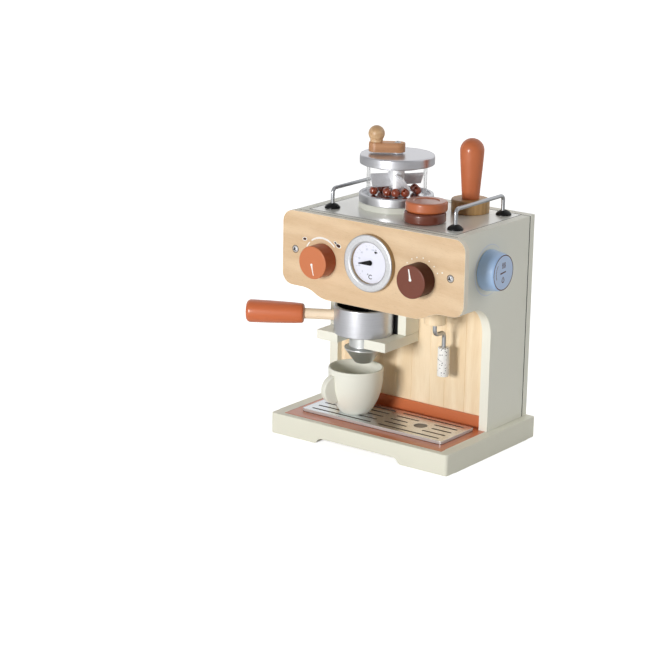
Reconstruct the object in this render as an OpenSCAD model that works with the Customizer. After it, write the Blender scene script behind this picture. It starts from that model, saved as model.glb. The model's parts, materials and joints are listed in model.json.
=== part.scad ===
// Toy coffee maker: a wooden play machine. A cabinet with an overhanging head stands on a low
// base. A panel carries two knobs and a gauge, a fork takes the portafilter, and a steam wand
// hangs from the head. A play grinder, two cup rails, pods and a tamper stand on top.
// Millimetres. Origin on the floor under the middle of the base, X right, Y back, Z up.

/* [Base] */
// Width of the base
base_w = 260; // [236:1:300]
// Depth of the base
base_d = 196; // [180:1:230]
// Height of the base
base_h = 26.25; // [20:0.25:36]
// Width of the boards that frame the base
rail_w = 18; // [16:0.5:24]
// Rim left in front of the deck
front_rim = 9; // [6:0.5:14]
// Rim left at each side of the deck
side_rim = 14.5; // [10:0.5:15.5]
// Rim left behind the deck
rear_rim = 14; // [10:0.5:15.5]
// Thickness of the deck board
deck_t = 6; // [4:0.5:8]
// Radius of the base's upright corners
base_corner_r = 4; // [1:0.5:8]
// Width of each foot left beside the front arch
foot_w = 65; // [40:1:80]
// Height of the front arch
arch_rise = 7; // [4:0.5:10]
// Length over which the arch curves up from a foot
arch_run = 12; // [8:1:24]

/* [Cabinet] */
// Distance of the side panels inside the base's sides
cabinet_inset = 11.75; // [8:0.25:13]
// Thickness of the side panels
panel_t = 12; // [9:0.5:15]
// Height of the cabinet above the base
cabinet_h = 252.35; // [236:0.05:280]
// Height of the open bay under the head
bay_h = 158.75; // [145:0.25:170]
// Radius of the curve under the head
notch_r = 40; // [25:1:44]
// Distance of the head's front behind the base's front
head_setback = 30.7; // [24:0.1:36]
// Distance of the lower side edges behind the base's front
bay_setback = 103.7; // [96:0.1:112]
// Thickness of the head's front board and top board
board_t = 9; // [6:0.5:12]
// Thickness of the board under the head
head_floor_t = 12; // [9:0.5:15]
// Distance of the wall board behind the lower side edges
wall_setback = 8.8; // [6:0.1:14]
// Thickness of the wall board
wall_t = 6; // [4:0.5:9]
// Height of the skirting along the wall
skirting_h = 15; // [10:0.5:22]
// Thickness of the skirting
skirting_t = 3; // [2:0.5:5]
// Thickness of the rear cover
cover_t = 14; // [9:0.5:16]
// Radius of the rear cover's upright corners
cover_corner_r = 4; // [1:0.5:7]
// Distance of the cover's screws from its lower and upper ends
cover_screw_inset = 20; // [14:1:40]
// Depth of the cover's screws in the side panels
cover_screw_grip = 12; // [8:1:20]

/* [Control panel] */
// Distance that the panel stands out past each side
fascia_overhang = 13.25; // [8:0.25:18]
// Thickness of the panel
fascia_t = 9; // [6:0.5:12]
// Height of the panel at its middle
fascia_h = 103.4; // [94:0.1:115]
// Height by which the lower edge rises at the ends
fascia_wave = 11; // [6:0.5:16]
// Width of the deep middle part
fascia_mid_w = 124; // [110:1:150]
// Length of each curve in the lower edge
fascia_run = 40; // [28:1:44]
// Radius of the panel's corners
fascia_corner_r = 15; // [8:1:20]
// Depth of the panel screws below the top
panel_screw_drop = 47.3; // [30:0.1:60]
// Diameter of the screw heads
screw_head_d = 8; // [6:0.5:10]
// Height of the screw heads
screw_head_h = 1.8; // [1:0.1:2.5]
// Length of the cross in a screw head
cross_l = 4.8; // [3:0.1:5.4]
// Width of the cross in a screw head
cross_w = 1; // [0.6:0.1:1.4]
// Depth of the cross in a screw head
cross_depth = 1.1; // [0.5:0.1:1.2]
// Direction of the cross in a screw head
cross_angle = 20; // [0:5:90]
// Diameter of the screw shanks
screw_shank_d = 4; // [3:0.25:5]
// Length of the panel screw shanks
screw_l = 26; // [18:1:32]

/* [Knobs] */
// Diameter of the two front knobs
knob_d = 40; // [32:1:44]
// Length of the front knobs
knob_l = 21.2; // [16:0.1:28]
// Distance between the front knobs
knob_spread = 142; // [132:1:160]
// Depth of the knobs below the top
knob_drop = 54.1; // [46:0.1:60]
// Radius of the knobs' front edge
knob_edge_r = 2; // [0.5:0.5:4]
// Diameter of the steam knob where it meets the side
steam_knob_d = 50; // [44:1:56]
// Diameter of the steam knob's face
steam_face_d = 43.2; // [36:0.2:46]
// Length of the steam knob
steam_knob_l = 21.7; // [16:0.1:28]
// Radius of the steam knob's front edge
steam_edge_r = 4; // [1:0.5:6]
// Depth of the steam knob below the top
steam_knob_drop = 48.9; // [40:0.1:56]
// Distance of the steam knob behind the head's front
steam_knob_setback = 61.1; // [50:0.1:90]
// Diameter of the knob spindles
spindle_d = 8; // [6:0.5:10]
// Depth of a spindle inside its knob
spindle_depth = 14; // [8:0.5:15]
// Diameter of the discs that hold the spindles
retainer_d = 18; // [12:1:24]
// Thickness of the discs that hold the spindles
retainer_t = 4; // [3:0.5:6]

/* [Gauge] */
// Outer diameter of the gauge ring
gauge_d = 69.4; // [60:0.2:76]
// Opening of the gauge ring
gauge_open_d = 49.8; // [40:0.2:54]
// Thickness of the gauge ring
gauge_t = 7.7; // [6:0.1:10]
// Depth of the gauge below the top
gauge_drop = 46.3; // [42:0.1:52]
// Radius of the gauge ring's edges
gauge_edge_r = 1.2; // [0.4:0.1:2]
// Thickness of the dial
dial_t = 2; // [1:0.1:3]
// Length of the needle from its pivot
needle_l = 16.9; // [12:0.1:21]
// Diameter of the needle's hub
needle_hub_d = 6.4; // [5:0.1:9]
// Thickness of the needle
needle_t = 1.2; // [0.8:0.1:2]
// Width of the needle's tip
needle_tip_w = 0.8; // [0.5:0.1:1.6]
// Direction of the needle, from the right
needle_angle = 189; // [150:1:240]
// Diameter of the needle's pin
needle_pin_d = 2.4; // [1.6:0.1:3]
// Length of the needle's pin below the dial's face
needle_pin_l = 8; // [5:0.5:10]
// Diameter of the pin's head
needle_head_d = 4.2; // [3.2:0.1:4.8]

/* [Fork] */
// Distance of the portafilter's axis left of the middle
group_left = 41.4; // [34:0.1:48]
// Distance of the portafilter's axis behind the base's front
group_setback = 68.3; // [60:0.1:72]
// Width of the fork
fork_w = 102; // [92:1:112]
// Thickness of the fork
fork_t = 12; // [8:0.5:15]
// Gap between the fork's top and the head
group_h = 54.8; // [48:0.1:60]
// Distance of the fork's front behind the base's front
fork_setback = 41; // [34:0.5:46]
// Width of the slot in the fork
slot_w = 39.6; // [35:0.2:46]
// Thickness of the cheeks above the fork
cheek_t = 12; // [9:0.5:13]
// Depth of the cheeks from the wall
cheek_d = 28.5; // [20:0.5:34]

/* [Portafilter] */
// Outer diameter of the cup
cup_d = 74; // [66:0.2:75]
// Height of the cup
cup_h = 34.4; // [28:0.2:42]
// Wall of the cup
cup_wall = 4; // [1.5:0.1:5]
// Thickness of the cup's floor
cup_floor = 5; // [4:0.5:8]
// Height of the handle's axis above the fork
stem_h = 19.8; // [16:0.1:22]
// Diameter of the wooden stem
stem_d = 13; // [9:0.5:16]
// Distance of the grip from the cup's axis
grip_start = 73.5; // [64:0.5:84]
// Length of the grip
grip_l = 71; // [60:1:84]
// Diameter of the grip's inner end
grip_d1 = 25; // [20:0.2:28]
// Diameter of the grip's outer end
grip_d2 = 28.2; // [22:0.2:31]
// Radius of the grip's rounded ends
grip_edge_r = 5; // [2:0.5:8]
// Depth of the stem inside the grip
stem_depth = 30; // [16:1:45]
// Angle of the handle forward of the cabinet's left
handle_angle = 30; // [10:1:70]
// Diameter of the spout's neck
neck_d = 35; // [26:0.5:36]
// Length of the spout's neck
neck_l = 17.2; // [14:0.2:21]
// Diameter of the spout's flange
flange_d = 47; // [42:0.5:52]
// Height of the flange's sloped top edge
flange_slope = 1.5; // [0.5:0.1:3]
// Height of the flange's rim
flange_rim = 1.5; // [0.5:0.1:3]
// Height of the funnel below the flange
funnel_h = 17.6; // [13:0.2:19]
// Diameter of the funnel's end
funnel_d = 21; // [17:0.5:26]
// Diameter of the spout's outlet
outlet_d = 12; // [8:0.5:14]
// Depth of the spout's outlet
outlet_depth = 12; // [6:0.5:16]
// Diameter of the pin that the cup turns on
swivel_d = 8; // [6:0.5:10]
// Diameter of that pin's head
swivel_head_d = 13; // [11:0.5:18]
// Height of that pin's head
swivel_head_h = 1.5; // [1:0.1:2.5]

/* [Steam wand] */
// Distance of the wand's boss right of the middle
wand_right = 60.8; // [52:0.1:70]
// Distance of the wand's boss behind the base's front
wand_setback = 70.5; // [64:0.1:76]
// Diameter of the wooden boss
boss_d = 27; // [24:0.5:34]
// Height of the wooden boss
boss_h = 26.5; // [20:0.5:32]
// Diameter of the pipe
pipe_d = 5.2; // [3.5:0.1:5.5]
// Depth of the pipe's crossing below the boss
crossing_drop = 14.7; // [12:0.1:18]
// Distance that the crossing carries the pipe back
crossing_l = 20.5; // [17:0.1:24]
// Bend radius of the pipe
pipe_bend_r = 7; // [5:0.5:8]
// Diameter of the collar that holds the pipe
pipe_collar_d = 12; // [9:0.5:16]
// Thickness of that collar
pipe_collar_t = 4; // [3:0.5:6]
// Diameter of the wand's tip
tip_d = 14.3; // [11:0.1:18]
// Length of the wand's tip
tip_l = 36; // [28:0.5:42]
// Depth of the tip's top below the crossing
tip_drop = 19; // [14:0.5:24]
// Depth of the pipe inside the tip
pipe_depth = 12; // [8:0.5:20]
// Radius of the tip's edges
tip_edge_r = 0.8; // [0.3:0.1:2]

/* [Grinder] */
// Distance of the grinder left of the middle
grinder_left = 35.5; // [32:0.5:46]
// Distance of the grinder behind the base's front
grinder_setback = 121.9; // [118:0.1:126]
// Diameter of the grinder's collar, ring and lid
grinder_d = 91.5; // [86:0.5:96]
// Height of the cream collar
collar_h = 7; // [5:0.5:10]
// Height of the silver ring
ring_h = 10.4; // [8:0.1:14]
// Depth of the floor inside the silver ring
ring_depth = 3.4; // [2:0.1:5]
// Width of the silver ring's rim
ring_rim = 4.5; // [3:0.1:5.5]
// Radius of the silver ring's top edge
ring_edge_r = 1; // [0.3:0.1:2]
// Outer diameter of the clear hopper
hopper_d = 73.6; // [70:0.2:77]
// Wall of the clear hopper
hopper_wall = 2.5; // [1.5:0.1:3.5]
// Height of the clear hopper that shows
hopper_h = 36; // [32:0.5:46]
// Thickness of the lid
lid_t = 11.8; // [8:0.1:15]
// Radius of the lid's top edge
lid_edge_r = 2; // [0.5:0.5:4]
// Radius of the lid's lower edge
lid_foot_r = 1; // [0.3:0.1:2]
// Height of the plug under the lid
lid_plug_h = 3; // [2:0.5:5]
// Diameter of the rotor's column
column_d = 18.5; // [14:0.5:19]
// Number of paddles on the rotor
paddle_count = 4; // [2:1:6]
// Direction of the first paddle
paddle_start = 55; // [0:5:90]
// Tilt of the paddles
paddle_tilt = 35; // [15:1:45]
// Width of a paddle along its slope
paddle_w = 17.5; // [12:0.5:18]
// Thickness of a paddle
paddle_t = 2; // [1.2:0.1:3]
// Gap between the paddles and the beans
paddle_gap = 0.8; // [0.5:0.1:3]
// Gap between the paddles and the hopper
paddle_side_gap = 1.4; // [1.2:0.1:3]
// Diameter of the crank's shaft
shaft_d = 8; // [6:0.5:10]
// Diameter of the pin under the rotor
rotor_pin_d = 6; // [4:0.5:8]
// Length of the pin under the rotor
rotor_pin_l = 2; // [1.5:0.1:3]
// Diameter of the coffee beans
bean_d = 11; // [9:0.1:11.2]

/* [Crank] */
// Distance from the shaft to the ball
crank_l = 25.8; // [22:0.1:30]
// Width of the crank arm
crank_w = 18.5; // [15:0.5:22]
// Thickness of the crank arm
crank_t = 11.6; // [9:0.1:16]
// Angle of the crank forward of the cabinet's left
crank_angle = 34; // [0:1:90]
// Height of the collar under the crank arm
crank_collar_h = 1.8; // [0.5:0.1:3]
// Diameter of the collar under the crank arm
crank_collar_d = 14; // [12:0.5:15]
// Diameter of the crank's ball
ball_d = 20; // [16:0.5:24]
// Depth of the peg under the ball
ball_peg_l = 9; // [6:0.5:9]
// Diameter of the peg under the ball
ball_peg_d = 8; // [6:0.5:10]
// Diameter of the turned foot under the ball
ball_foot_d = 15.5; // [10:0.5:16]
// Height of the ball's lowest point above the arm
ball_lift = 0.3; // [0:0.1:3]

/* [Cup rails] */
// Diameter of the rails' wire
wire_d = 4.75; // [3:0.25:5]
// Distance of the rails inside the cabinet's sides
rail_inset = 29.25; // [22:0.25:32]
// Distance of the rails' front legs behind the base's front
rail_setback = 64; // [58:0.5:70]
// Distance of the rails' rear legs in front of the rear cover
rail_rear_gap = 15; // [13:0.5:24]
// Height of the rails' wire above the top
rail_h = 24; // [18:0.5:32]
// Bend radius of the rails
rail_bend_r = 6; // [4:0.5:10]
// Diameter of the rails' feet
foot_d = 19; // [14:0.5:22]
// Height of the rails' feet
foot_h = 6; // [4:0.5:8]
// Height of the upright rim of the rails' feet
foot_rim = 1.5; // [0.5:0.1:3]
// Depth of the rails' legs in the top board
leg_depth = 5; // [3:0.5:5.5]

/* [Pods and tamper] */
// Diameter of the coffee pods
pod_d = 50.3; // [44:0.1:52]
// Thickness of the coffee pods
pod_t = 12.4; // [9:0.1:15]
// Radius of the pods' edges
pod_edge_r = 2.5; // [1:0.5:4]
// Diameter of the recess on a pod
recess_d = 30; // [20:0.5:38]
// Depth of the recess on a pod
recess_depth = 1; // [0.5:0.1:2]
// Distance of the brown pod right of the middle
pod_right = 38.5; // [37:0.1:44]
// Distance of the brown pod behind the base's front
pod_setback = 75; // [70:0.5:80]
// Sideways offset of the upper pod
pod_shift = 1.1; // [0:0.1:3]
// Rearward offset of the upper pod
pod_back = 4.6; // [0:0.1:6]
// Distance of the tamper right of the middle
tamper_right = 49.4; // [47:0.1:52]
// Distance of the tamper behind the base's front
tamper_setback = 156.2; // [150:0.1:158]
// Diameter of the tamper's base
tamper_d = 46.6; // [40:0.2:50]
// Height of the tamper's base
tamper_h = 16.3; // [12:0.1:20]
// Radius of the tamper base's edges
tamper_edge_r = 1.5; // [0.5:0.5:3]
// Diameter of the tamper's handle at its foot
handle_d1 = 21; // [16:0.5:26]
// Largest diameter of the tamper's handle
handle_d2 = 29.4; // [22:0.2:34]
// Height at which the handle is widest
handle_l = 59; // [50:1:68]
// Diameter of the peg under the handle
peg_d = 8; // [6:0.5:10]
// Length of the peg under the handle
peg_l = 10; // [6:0.5:11]

/* [Mug] */
// Distance of the mug left of the middle
mug_left = 45.7; // [43:0.1:48]
// Distance of the mug behind the base's front
mug_setback = 59.6; // [56:0.1:66]
// Diameter of the mug's rim
mug_d = 67.8; // [60:0.2:74]
// Diameter of the mug's foot
mug_foot_d = 36; // [28:0.5:44]
// Height of the mug
mug_h = 57; // [48:0.5:58]
// Wall of the mug
mug_wall = 2.6; // [2:0.1:4]
// Thickness of the mug's floor
mug_floor = 4; // [3:0.5:7]
// How quickly the mug's side turns upright
mug_power = 2.75; // [2:0.05:4]
// Radius of the mug's solid, rounded handle
ear_r = 18.7; // [14:0.1:20]
// Thickness of the handle
ear_t = 9.5; // [6:0.5:13]
// Distance that the handle reaches past the rim
ear_reach = 13.6; // [10:0.1:16]
// Height of the handle's centre
ear_h = 32.5; // [24:0.5:36]
// Angle of the handle, from the front towards the left
ear_turn = 22; // [0:1:120]

/* [Drip grille] */
// Width of the drip grille
grille_w = 206.4; // [200:0.2:222]
// Depth of the drip grille
grille_d = 70.5; // [66:0.1:74]
// Thickness of the drip grille
grille_t = 4.1; // [3:0.1:6]
// Distance of the grille behind the base's front
grille_setback = 27.85; // [22:0.05:28]
// Radius of the grille's corners
grille_corner_r = 3; // [1:0.5:5]
// Width of the grille's slots
grille_slot_w = 3.2; // [2:0.1:4.5]
// Depth of the slots and round marks, which are sunk and don't go through
sunk_depth = 0.8; // [0.4:0.1:2]
// Distance between the slot rows
slot_pitch = 13.3; // [12:0.1:14]
// Half of the solid strip in the grille's middle
slot_start = 5.5; // [3:0.5:9]
// Solid edge beside the slots
slot_margin = 9.2; // [6:0.1:14]
// Distance of the round marks from the middle
mark_offset = 49.5; // [47:0.5:52]
// Diameter of the round marks
mark_d = 17; // [13:0.5:19]
// Solid width beside a round mark in the middle row
mark_land = 10; // [7.5:0.5:12]
// Solid width beside a round mark in the rows next to it
row_land = 2.5; // [1:0.5:4]

/* [Fits] */
// Radial clearance of turning fits
run_fit = 0.05; // [0.03:0.01:0.09]
// Radial clearance of fixed pegs, pins and discs
fixed_fit = 0.02; // [0.01:0.01:0.05]
// End clearance of turning pieces
run_gap = 0.3; // [0.2:0.05:0.6]
// Clearance of the cup in its cradle
cradle_gap = 0.6; // [0.4:0.1:1]
// Diameter of the assembly dowels
dowel_d = 5; // [4:0.5:6]
// Depth of the dowels in a side panel
dowel_panel_depth = 7; // [5:0.5:8]
// Depth of the dowels in a board
dowel_board_depth = 15; // [10:1:20]
// Distance of the dowels from a board's edge
dowel_edge = 12; // [8:1:16]
// Distance of the rearmost dowels in front of the rear cover
dowel_rear = 35; // [28:1:44]
// Distance between the two rearmost dowels
dowel_step = 25; // [16:1:32]

/* [Hidden] */
$fn = 96;
cut_over = 1;            // how far a cut runs past the face it opens
join_over = 1;           // how far a solid runs into the one it is joined to
arc_steps = 10;          // points along each rounded stretch of an outline
mug_rings = 14;          // points along the mug's side
slot_rows = 2;           // slot rows each side of the grille's middle row
far = 1000;              // longer than the whole machine

cream = [0.90, 0.88, 0.82];
plywood = [0.93, 0.81, 0.67];
pale_wood = [0.93, 0.84, 0.71];
beech = [0.74, 0.56, 0.40];
terracotta = [0.80, 0.48, 0.33];
orange = [0.85, 0.53, 0.38];
brown = [0.45, 0.28, 0.23];
blue = [0.62, 0.68, 0.78];
silver = [0.80, 0.80, 0.81];
steel = [0.62, 0.63, 0.65];
black = [0.10, 0.10, 0.10];
white = [0.94, 0.94, 0.94];
clear = [0.85, 0.90, 0.92, 0.35];
bean_brown = [0.50, 0.30, 0.22];

// Planes of the base
base_front = -base_d / 2;
base_rear = base_d / 2;
deck_z = base_h;
deck_w = base_w - 2 * side_rim;
deck_d = base_d - front_rim - rear_rim;

// Planes of the cabinet
cabinet_x = base_w / 2 - cabinet_inset;
bay_x = cabinet_x - panel_t;
top_z = deck_z + cabinet_h;
head_z = deck_z + bay_h;
head_front_y = base_front + head_setback;
bay_front_y = base_front + bay_setback;
wall_y = bay_front_y + wall_setback;
wall_back_y = wall_y + wall_t;
cover_y = base_rear - cover_t;
board_back_y = head_front_y + board_t;
top_board_z = top_z - board_t;

// Control panel and what it carries
fascia_y = head_front_y - fascia_t;
fascia_x = cabinet_x + fascia_overhang;
fascia_low_z = top_z - fascia_h;
panel_screw_x = cabinet_x - panel_t / 2;
panel_screw_z = top_z - panel_screw_drop;
knob_z = top_z - knob_drop;
gauge_z = top_z - gauge_drop;
steam_knob_y = head_front_y + steam_knob_setback;
steam_knob_z = top_z - steam_knob_drop;
needle_y = fascia_y - dial_t - run_gap;

// Portafilter group
group_x = -group_left;
group_y = base_front + group_setback;
fork_z = head_z - group_h;
fork_front_y = base_front + fork_setback;
cheek_y = wall_y - cheek_d;
cup_r = cup_d / 2;
handle_z = fork_z + stem_h;
flange_z = fork_z - neck_l;
funnel_z = flange_z - flange_slope - flange_rim;

// Steam wand
wand_x = wand_right;
wand_y = base_front + wand_setback;
boss_z = head_z - boss_h;
crossing_z = boss_z - crossing_drop;
tip_z = crossing_z - tip_drop - tip_l;

// Grinder and crank
grinder_x = -grinder_left;
grinder_y = base_front + grinder_setback;
ring_z = top_z + collar_h;
hopper_z = ring_z + ring_h - ring_depth;
lid_z = ring_z + ring_h + hopper_h;
lid_top_z = lid_z + lid_t;
hopper_inner_r = hopper_d / 2 - hopper_wall;
column_top_z = lid_z - lid_plug_h - run_gap;
paddle_low = (paddle_w * cos(paddle_tilt) + paddle_t * sin(paddle_tilt)) / 2;
paddle_z = hopper_z + bean_d + paddle_gap + paddle_low;
paddle_reach = hopper_inner_r - paddle_side_gap;
arm_z = lid_top_z + run_gap + crank_collar_h;
arm_top_z = arm_z + crank_t;
ball_x = grinder_x - crank_l * cos(crank_angle);
ball_y = grinder_y - crank_l * sin(crank_angle);
ball_foot_h = ball_lift + ball_d / 2 - sqrt(pow(ball_d / 2, 2) - pow(ball_foot_d / 2, 2));

// Pieces on the top and on the grille
wire_x = cabinet_x - rail_inset;
wire_front_y = base_front + rail_setback;
rail_l = cover_y - rail_rear_gap - wire_front_y;
pod_x = pod_right;
pod_y = base_front + pod_setback;
pod_top_z = top_z + pod_t;
tamper_x = tamper_right;
tamper_y = base_front + tamper_setback;
grille_y = base_front + grille_setback + grille_d / 2;
grille_z = deck_z + grille_t;
mug_x = -mug_left;
mug_y = base_front + mug_setback;
slot_end = grille_w / 2 - slot_margin;

// Heights and depths of the cabinet's dowels, as [y, z]
dowel_places = [
    [board_back_y + dowel_edge, head_z + head_floor_t / 2],
    [wall_back_y - dowel_edge, head_z + head_floor_t / 2],
    [board_back_y + dowel_edge, top_z - board_t / 2],
    [cover_y - dowel_rear - dowel_step, top_z - board_t / 2],
    [cover_y - dowel_rear, top_z - board_t / 2]
];

// Places of the rear cover's screws, as [x, z], and their length
cover_screw_places = [
    for (side = [-1, 1], z = [deck_z + cover_screw_inset, top_z - cover_screw_inset])
        [side * panel_screw_x, z]
];
cover_screw_l = cover_t + cover_screw_grip;

// Coffee beans in the hopper, as [distance from the column, direction]
bean_places = [
    [28, -138], [15.5, -102], [15.7, -59], [17.2, -17], [25, 41],
    [27.5, 72], [20, 108], [27, 140], [24, 176]
];

// ---- Outlines ----

// Points along a circle's arc, from angle a0 to angle a1
function arc(cx, cy, r, a0, a1) =
    [for (i = [0:arc_steps]) let (a = a0 + (a1 - a0) * i / arc_steps)
        [cx + r * cos(a), cy + r * sin(a)]];

// Two equal arcs that rise smoothly from the origin to [run, rise]
function s_curve(run, rise) =
    let (turn = 2 * atan(rise / run), r = run / 2 / sin(turn))
    concat(arc(0, r, r, -90, -90 + turn), arc(run, rise - r, r, 90 + turn, 90));

function mirrored(points) = [for (i = [len(points) - 1:-1:0]) [-points[i].x, points[i].y]];

// Solid disc outline for turning, with its top edge rounded, and its foot edge too if asked
function disc_outline(r, h, edge_r, foot_r = 0) = concat(
    [[0, 0]],
    foot_r > 0 ? arc(r - foot_r, foot_r, foot_r, -90, 0) : [[r, 0]],
    arc(r - edge_r, h - edge_r, edge_r, 0, 90),
    [[0, h]]
);

module turned(points) rotate_extrude() polygon(points);

// A box given by its two corners
module block(low, high) translate(low) cube(high - low);

module rounded_rect(w, d, r) {
    square([w - 2 * r, d], center = true);
    square([w, d - 2 * r], center = true);
    for (sx = [-1, 1], sy = [-1, 1])
        translate([sx * (w / 2 - r), sy * (d / 2 - r)]) circle(r);
}

// Turns a solid drawn upward so that it points to the front
module to_front() rotate([90, 0, 0]) children();

// Turns a solid drawn upward so that it points to the right
module to_right() rotate([0, 90, 0]) children();

// A wire bent through a quarter turn, seen from the side. It starts at an angle from the back, which
// rises through the top: 0 runs from the back to the top, and 90 from the top to the front.
module bend(start, bend_r, wire_r)
    rotate([90, 0, 90])
        rotate([0, 0, start])
            rotate_extrude(angle = 90)
                translate([bend_r, 0])
                    circle(wire_r);

// ---- Base ----

module base_block() linear_extrude(base_h) rounded_rect(base_w, base_d, base_corner_r);

module deck_space(extra = 0)
    block([-deck_w / 2, base_front + front_rim, base_h - deck_t],
          [deck_w / 2, base_rear - rear_rim, base_h + extra]);

module front_arch() {
    side = [for (p = s_curve(arch_run, arch_rise)) [p.x - base_w / 2 + foot_w, p.y]];
    translate([0, base_front + rail_w + cut_over, 0])
        to_front()
            linear_extrude(rail_w + 2 * cut_over)
                polygon(concat([[side[0].x, -cut_over]], side, mirrored(side), [[-side[0].x, -cut_over]]));
}

module base_front_rail() color(cream) difference() {
    intersection() {
        base_block();
        block([-far, base_front, 0], [far, base_front + rail_w, base_h]);
    }
    deck_space(cut_over);
    front_arch();
}

module base_rear_rail() color(cream) difference() {
    intersection() {
        base_block();
        block([-far, base_rear - rail_w, 0], [far, base_rear, base_h]);
    }
    deck_space(cut_over);
}

module base_side_rail() difference() {
    block([base_w / 2 - rail_w, base_front + rail_w, 0], [base_w / 2, base_rear - rail_w, base_h]);
    deck_space(cut_over);
}

module base_left_rail() color(cream) mirror([1, 0, 0]) base_side_rail();

module base_right_rail() color(cream) base_side_rail();

module base_centre_rail() color(pale_wood)
    block([rail_w - base_w / 2, -rail_w / 2, 0], [base_w / 2 - rail_w, rail_w / 2, base_h - deck_t]);

module base_deck() color(terracotta) deck_space();

module skirting() color(terracotta)
    block([-bay_x, wall_y - skirting_t, deck_z], [bay_x, wall_y, deck_z + skirting_h]);

// ---- Cabinet ----

module dowels(r) for (side = [-1, 1], p = dowel_places)
    translate([side * bay_x, p.x, p.y])
        rotate([0, side * 90, 0])
            translate([0, 0, -dowel_board_depth])
                cylinder(r = r, h = dowel_board_depth + dowel_panel_depth);

module panel_screw_holes(r) for (side = [-1, 1])
    translate([side * panel_screw_x, fascia_y, panel_screw_z])
        to_front()
            translate([0, 0, -screw_l]) cylinder(r = r, h = screw_l + cut_over);

// Straight shanks for the rear cover's screws, entering from the back
module cover_screw_shanks(r) for (p = cover_screw_places)
    translate([p.x, base_rear - cover_screw_l, p.y])
        rotate([-90, 0, 0])
            cylinder(r = r, h = cover_screw_l - screw_head_h);

module cover_screw_heads(r, extra = 0) for (p = cover_screw_places)
    translate([p.x, base_rear - screw_head_h, p.y])
        rotate([-90, 0, 0])
            cylinder(r = r, h = screw_head_h + extra);

// The bay that is open below the head, seen from the side, as y and z
module bay_outline() {
    notch_y = bay_front_y - notch_r;
    translate([-far, 0]) square([far + notch_y, head_z]);
    translate([-far, 0]) square([far + bay_front_y, head_z - notch_r]);
    translate([notch_y, head_z - notch_r]) circle(notch_r);
}

module side_panel() difference() {
    translate([bay_x, 0, 0])
        rotate([90, 0, 90])
            linear_extrude(panel_t)
                difference() {
                    translate([head_front_y, deck_z]) square([cover_y - head_front_y, cabinet_h]);
                    bay_outline();
                }
    dowels(dowel_d / 2 + fixed_fit);
    panel_screw_holes(screw_shank_d / 2 + fixed_fit);
    cover_screw_shanks(screw_shank_d / 2 + fixed_fit);
}

module side_panel_left() color(cream) mirror([1, 0, 0]) side_panel();

module side_panel_right() color(cream) difference() {
    side_panel();
    translate([bay_x - cut_over, steam_knob_y, steam_knob_z])
        to_right()
            cylinder(d = spindle_d + 2 * run_fit, h = panel_t + 2 * cut_over);
}

module wall_panel() color(pale_wood)
    block([-bay_x, wall_y, deck_z], [bay_x, wall_back_y, head_z]);

module head_floor() color(cream) difference() {
    block([-bay_x, board_back_y, head_z], [bay_x, wall_back_y, head_z + head_floor_t]);
    dowels(dowel_d / 2 + fixed_fit);
}

module spindle_holes(r) for (side = [-1, 1])
    translate([side * knob_spread / 2, fascia_y, knob_z])
        to_front()
            translate([0, 0, -fascia_t - board_t - cut_over])
                cylinder(r = r, h = fascia_t + board_t + 2 * cut_over);

module head_front() color(cream) difference() {
    block([-bay_x, head_front_y, head_z], [bay_x, board_back_y, top_z]);
    spindle_holes(spindle_d / 2 + run_fit);
}

module top_panel() color(cream) difference() {
    block([-bay_x, board_back_y, top_board_z], [bay_x, cover_y, top_z]);
    dowels(dowel_d / 2 + fixed_fit);
    rail_legs(wire_d / 2 + fixed_fit);
}

module rear_cover() color(cream) difference() {
    translate([0, base_rear - cover_t, deck_z])
        linear_extrude(cabinet_h)
            intersection() {
                translate([0, cover_t - base_d / 2]) rounded_rect(2 * cabinet_x, base_d, cover_corner_r);
                translate([-cabinet_x, 0]) square([2 * cabinet_x, cover_t]);
            }
    cover_screw_shanks(screw_shank_d / 2 + fixed_fit);
    cover_screw_heads(screw_head_d / 2 + fixed_fit, cut_over);
}

module cover_screws() color(steel) {
    cover_screw_shanks(screw_shank_d / 2);
    cover_screw_heads(screw_head_d / 2);
}

module assembly_dowels() color(beech) dowels(dowel_d / 2);

// ---- Control panel ----

// Right half of the panel's outline, as x and z, from its low middle round to its top
fascia_side = concat(
    [for (p = s_curve(fascia_run, fascia_wave)) [fascia_mid_w / 2 + p.x, fascia_low_z + p.y]],
    arc(fascia_x - fascia_corner_r, fascia_low_z + fascia_wave + fascia_corner_r, fascia_corner_r, -90, 0),
    arc(fascia_x - fascia_corner_r, top_z - fascia_corner_r, fascia_corner_r, 0, 90)
);

module fascia() color(plywood) difference() {
    translate([0, head_front_y, 0])
        to_front()
            linear_extrude(fascia_t) polygon(concat(fascia_side, mirrored(fascia_side)));
    spindle_holes(spindle_d / 2 + run_fit);
    panel_screw_holes(screw_shank_d / 2 + fixed_fit);
    needle_pin_shank(needle_pin_d / 2 + fixed_fit);
}

// A domed screw head with a cross cut into it, drawn upward
module screw_head() difference() {
    dome_r = (pow(screw_head_d / 2, 2) + pow(screw_head_h, 2)) / (2 * screw_head_h);
    intersection() {
        cylinder(d = screw_head_d, h = screw_head_h);
        translate([0, 0, screw_head_h - dome_r]) sphere(dome_r);
    }
    for (turn = [0, 90])
        rotate([0, 0, turn + cross_angle])
            translate([-cross_l / 2, -cross_w / 2, screw_head_h - cross_depth])
                cube([cross_l, cross_w, cross_depth + cut_over]);
}

module fascia_screws() color(steel) for (side = [-1, 1])
    translate([side * panel_screw_x, fascia_y, panel_screw_z])
        to_front() {
            screw_head();
            translate([0, 0, -screw_l])
                cylinder(d = screw_shank_d, h = screw_l + (screw_head_h - cross_depth) / 2);
        }

// ---- Knobs, drawn upward from the face that they run on ----

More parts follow.
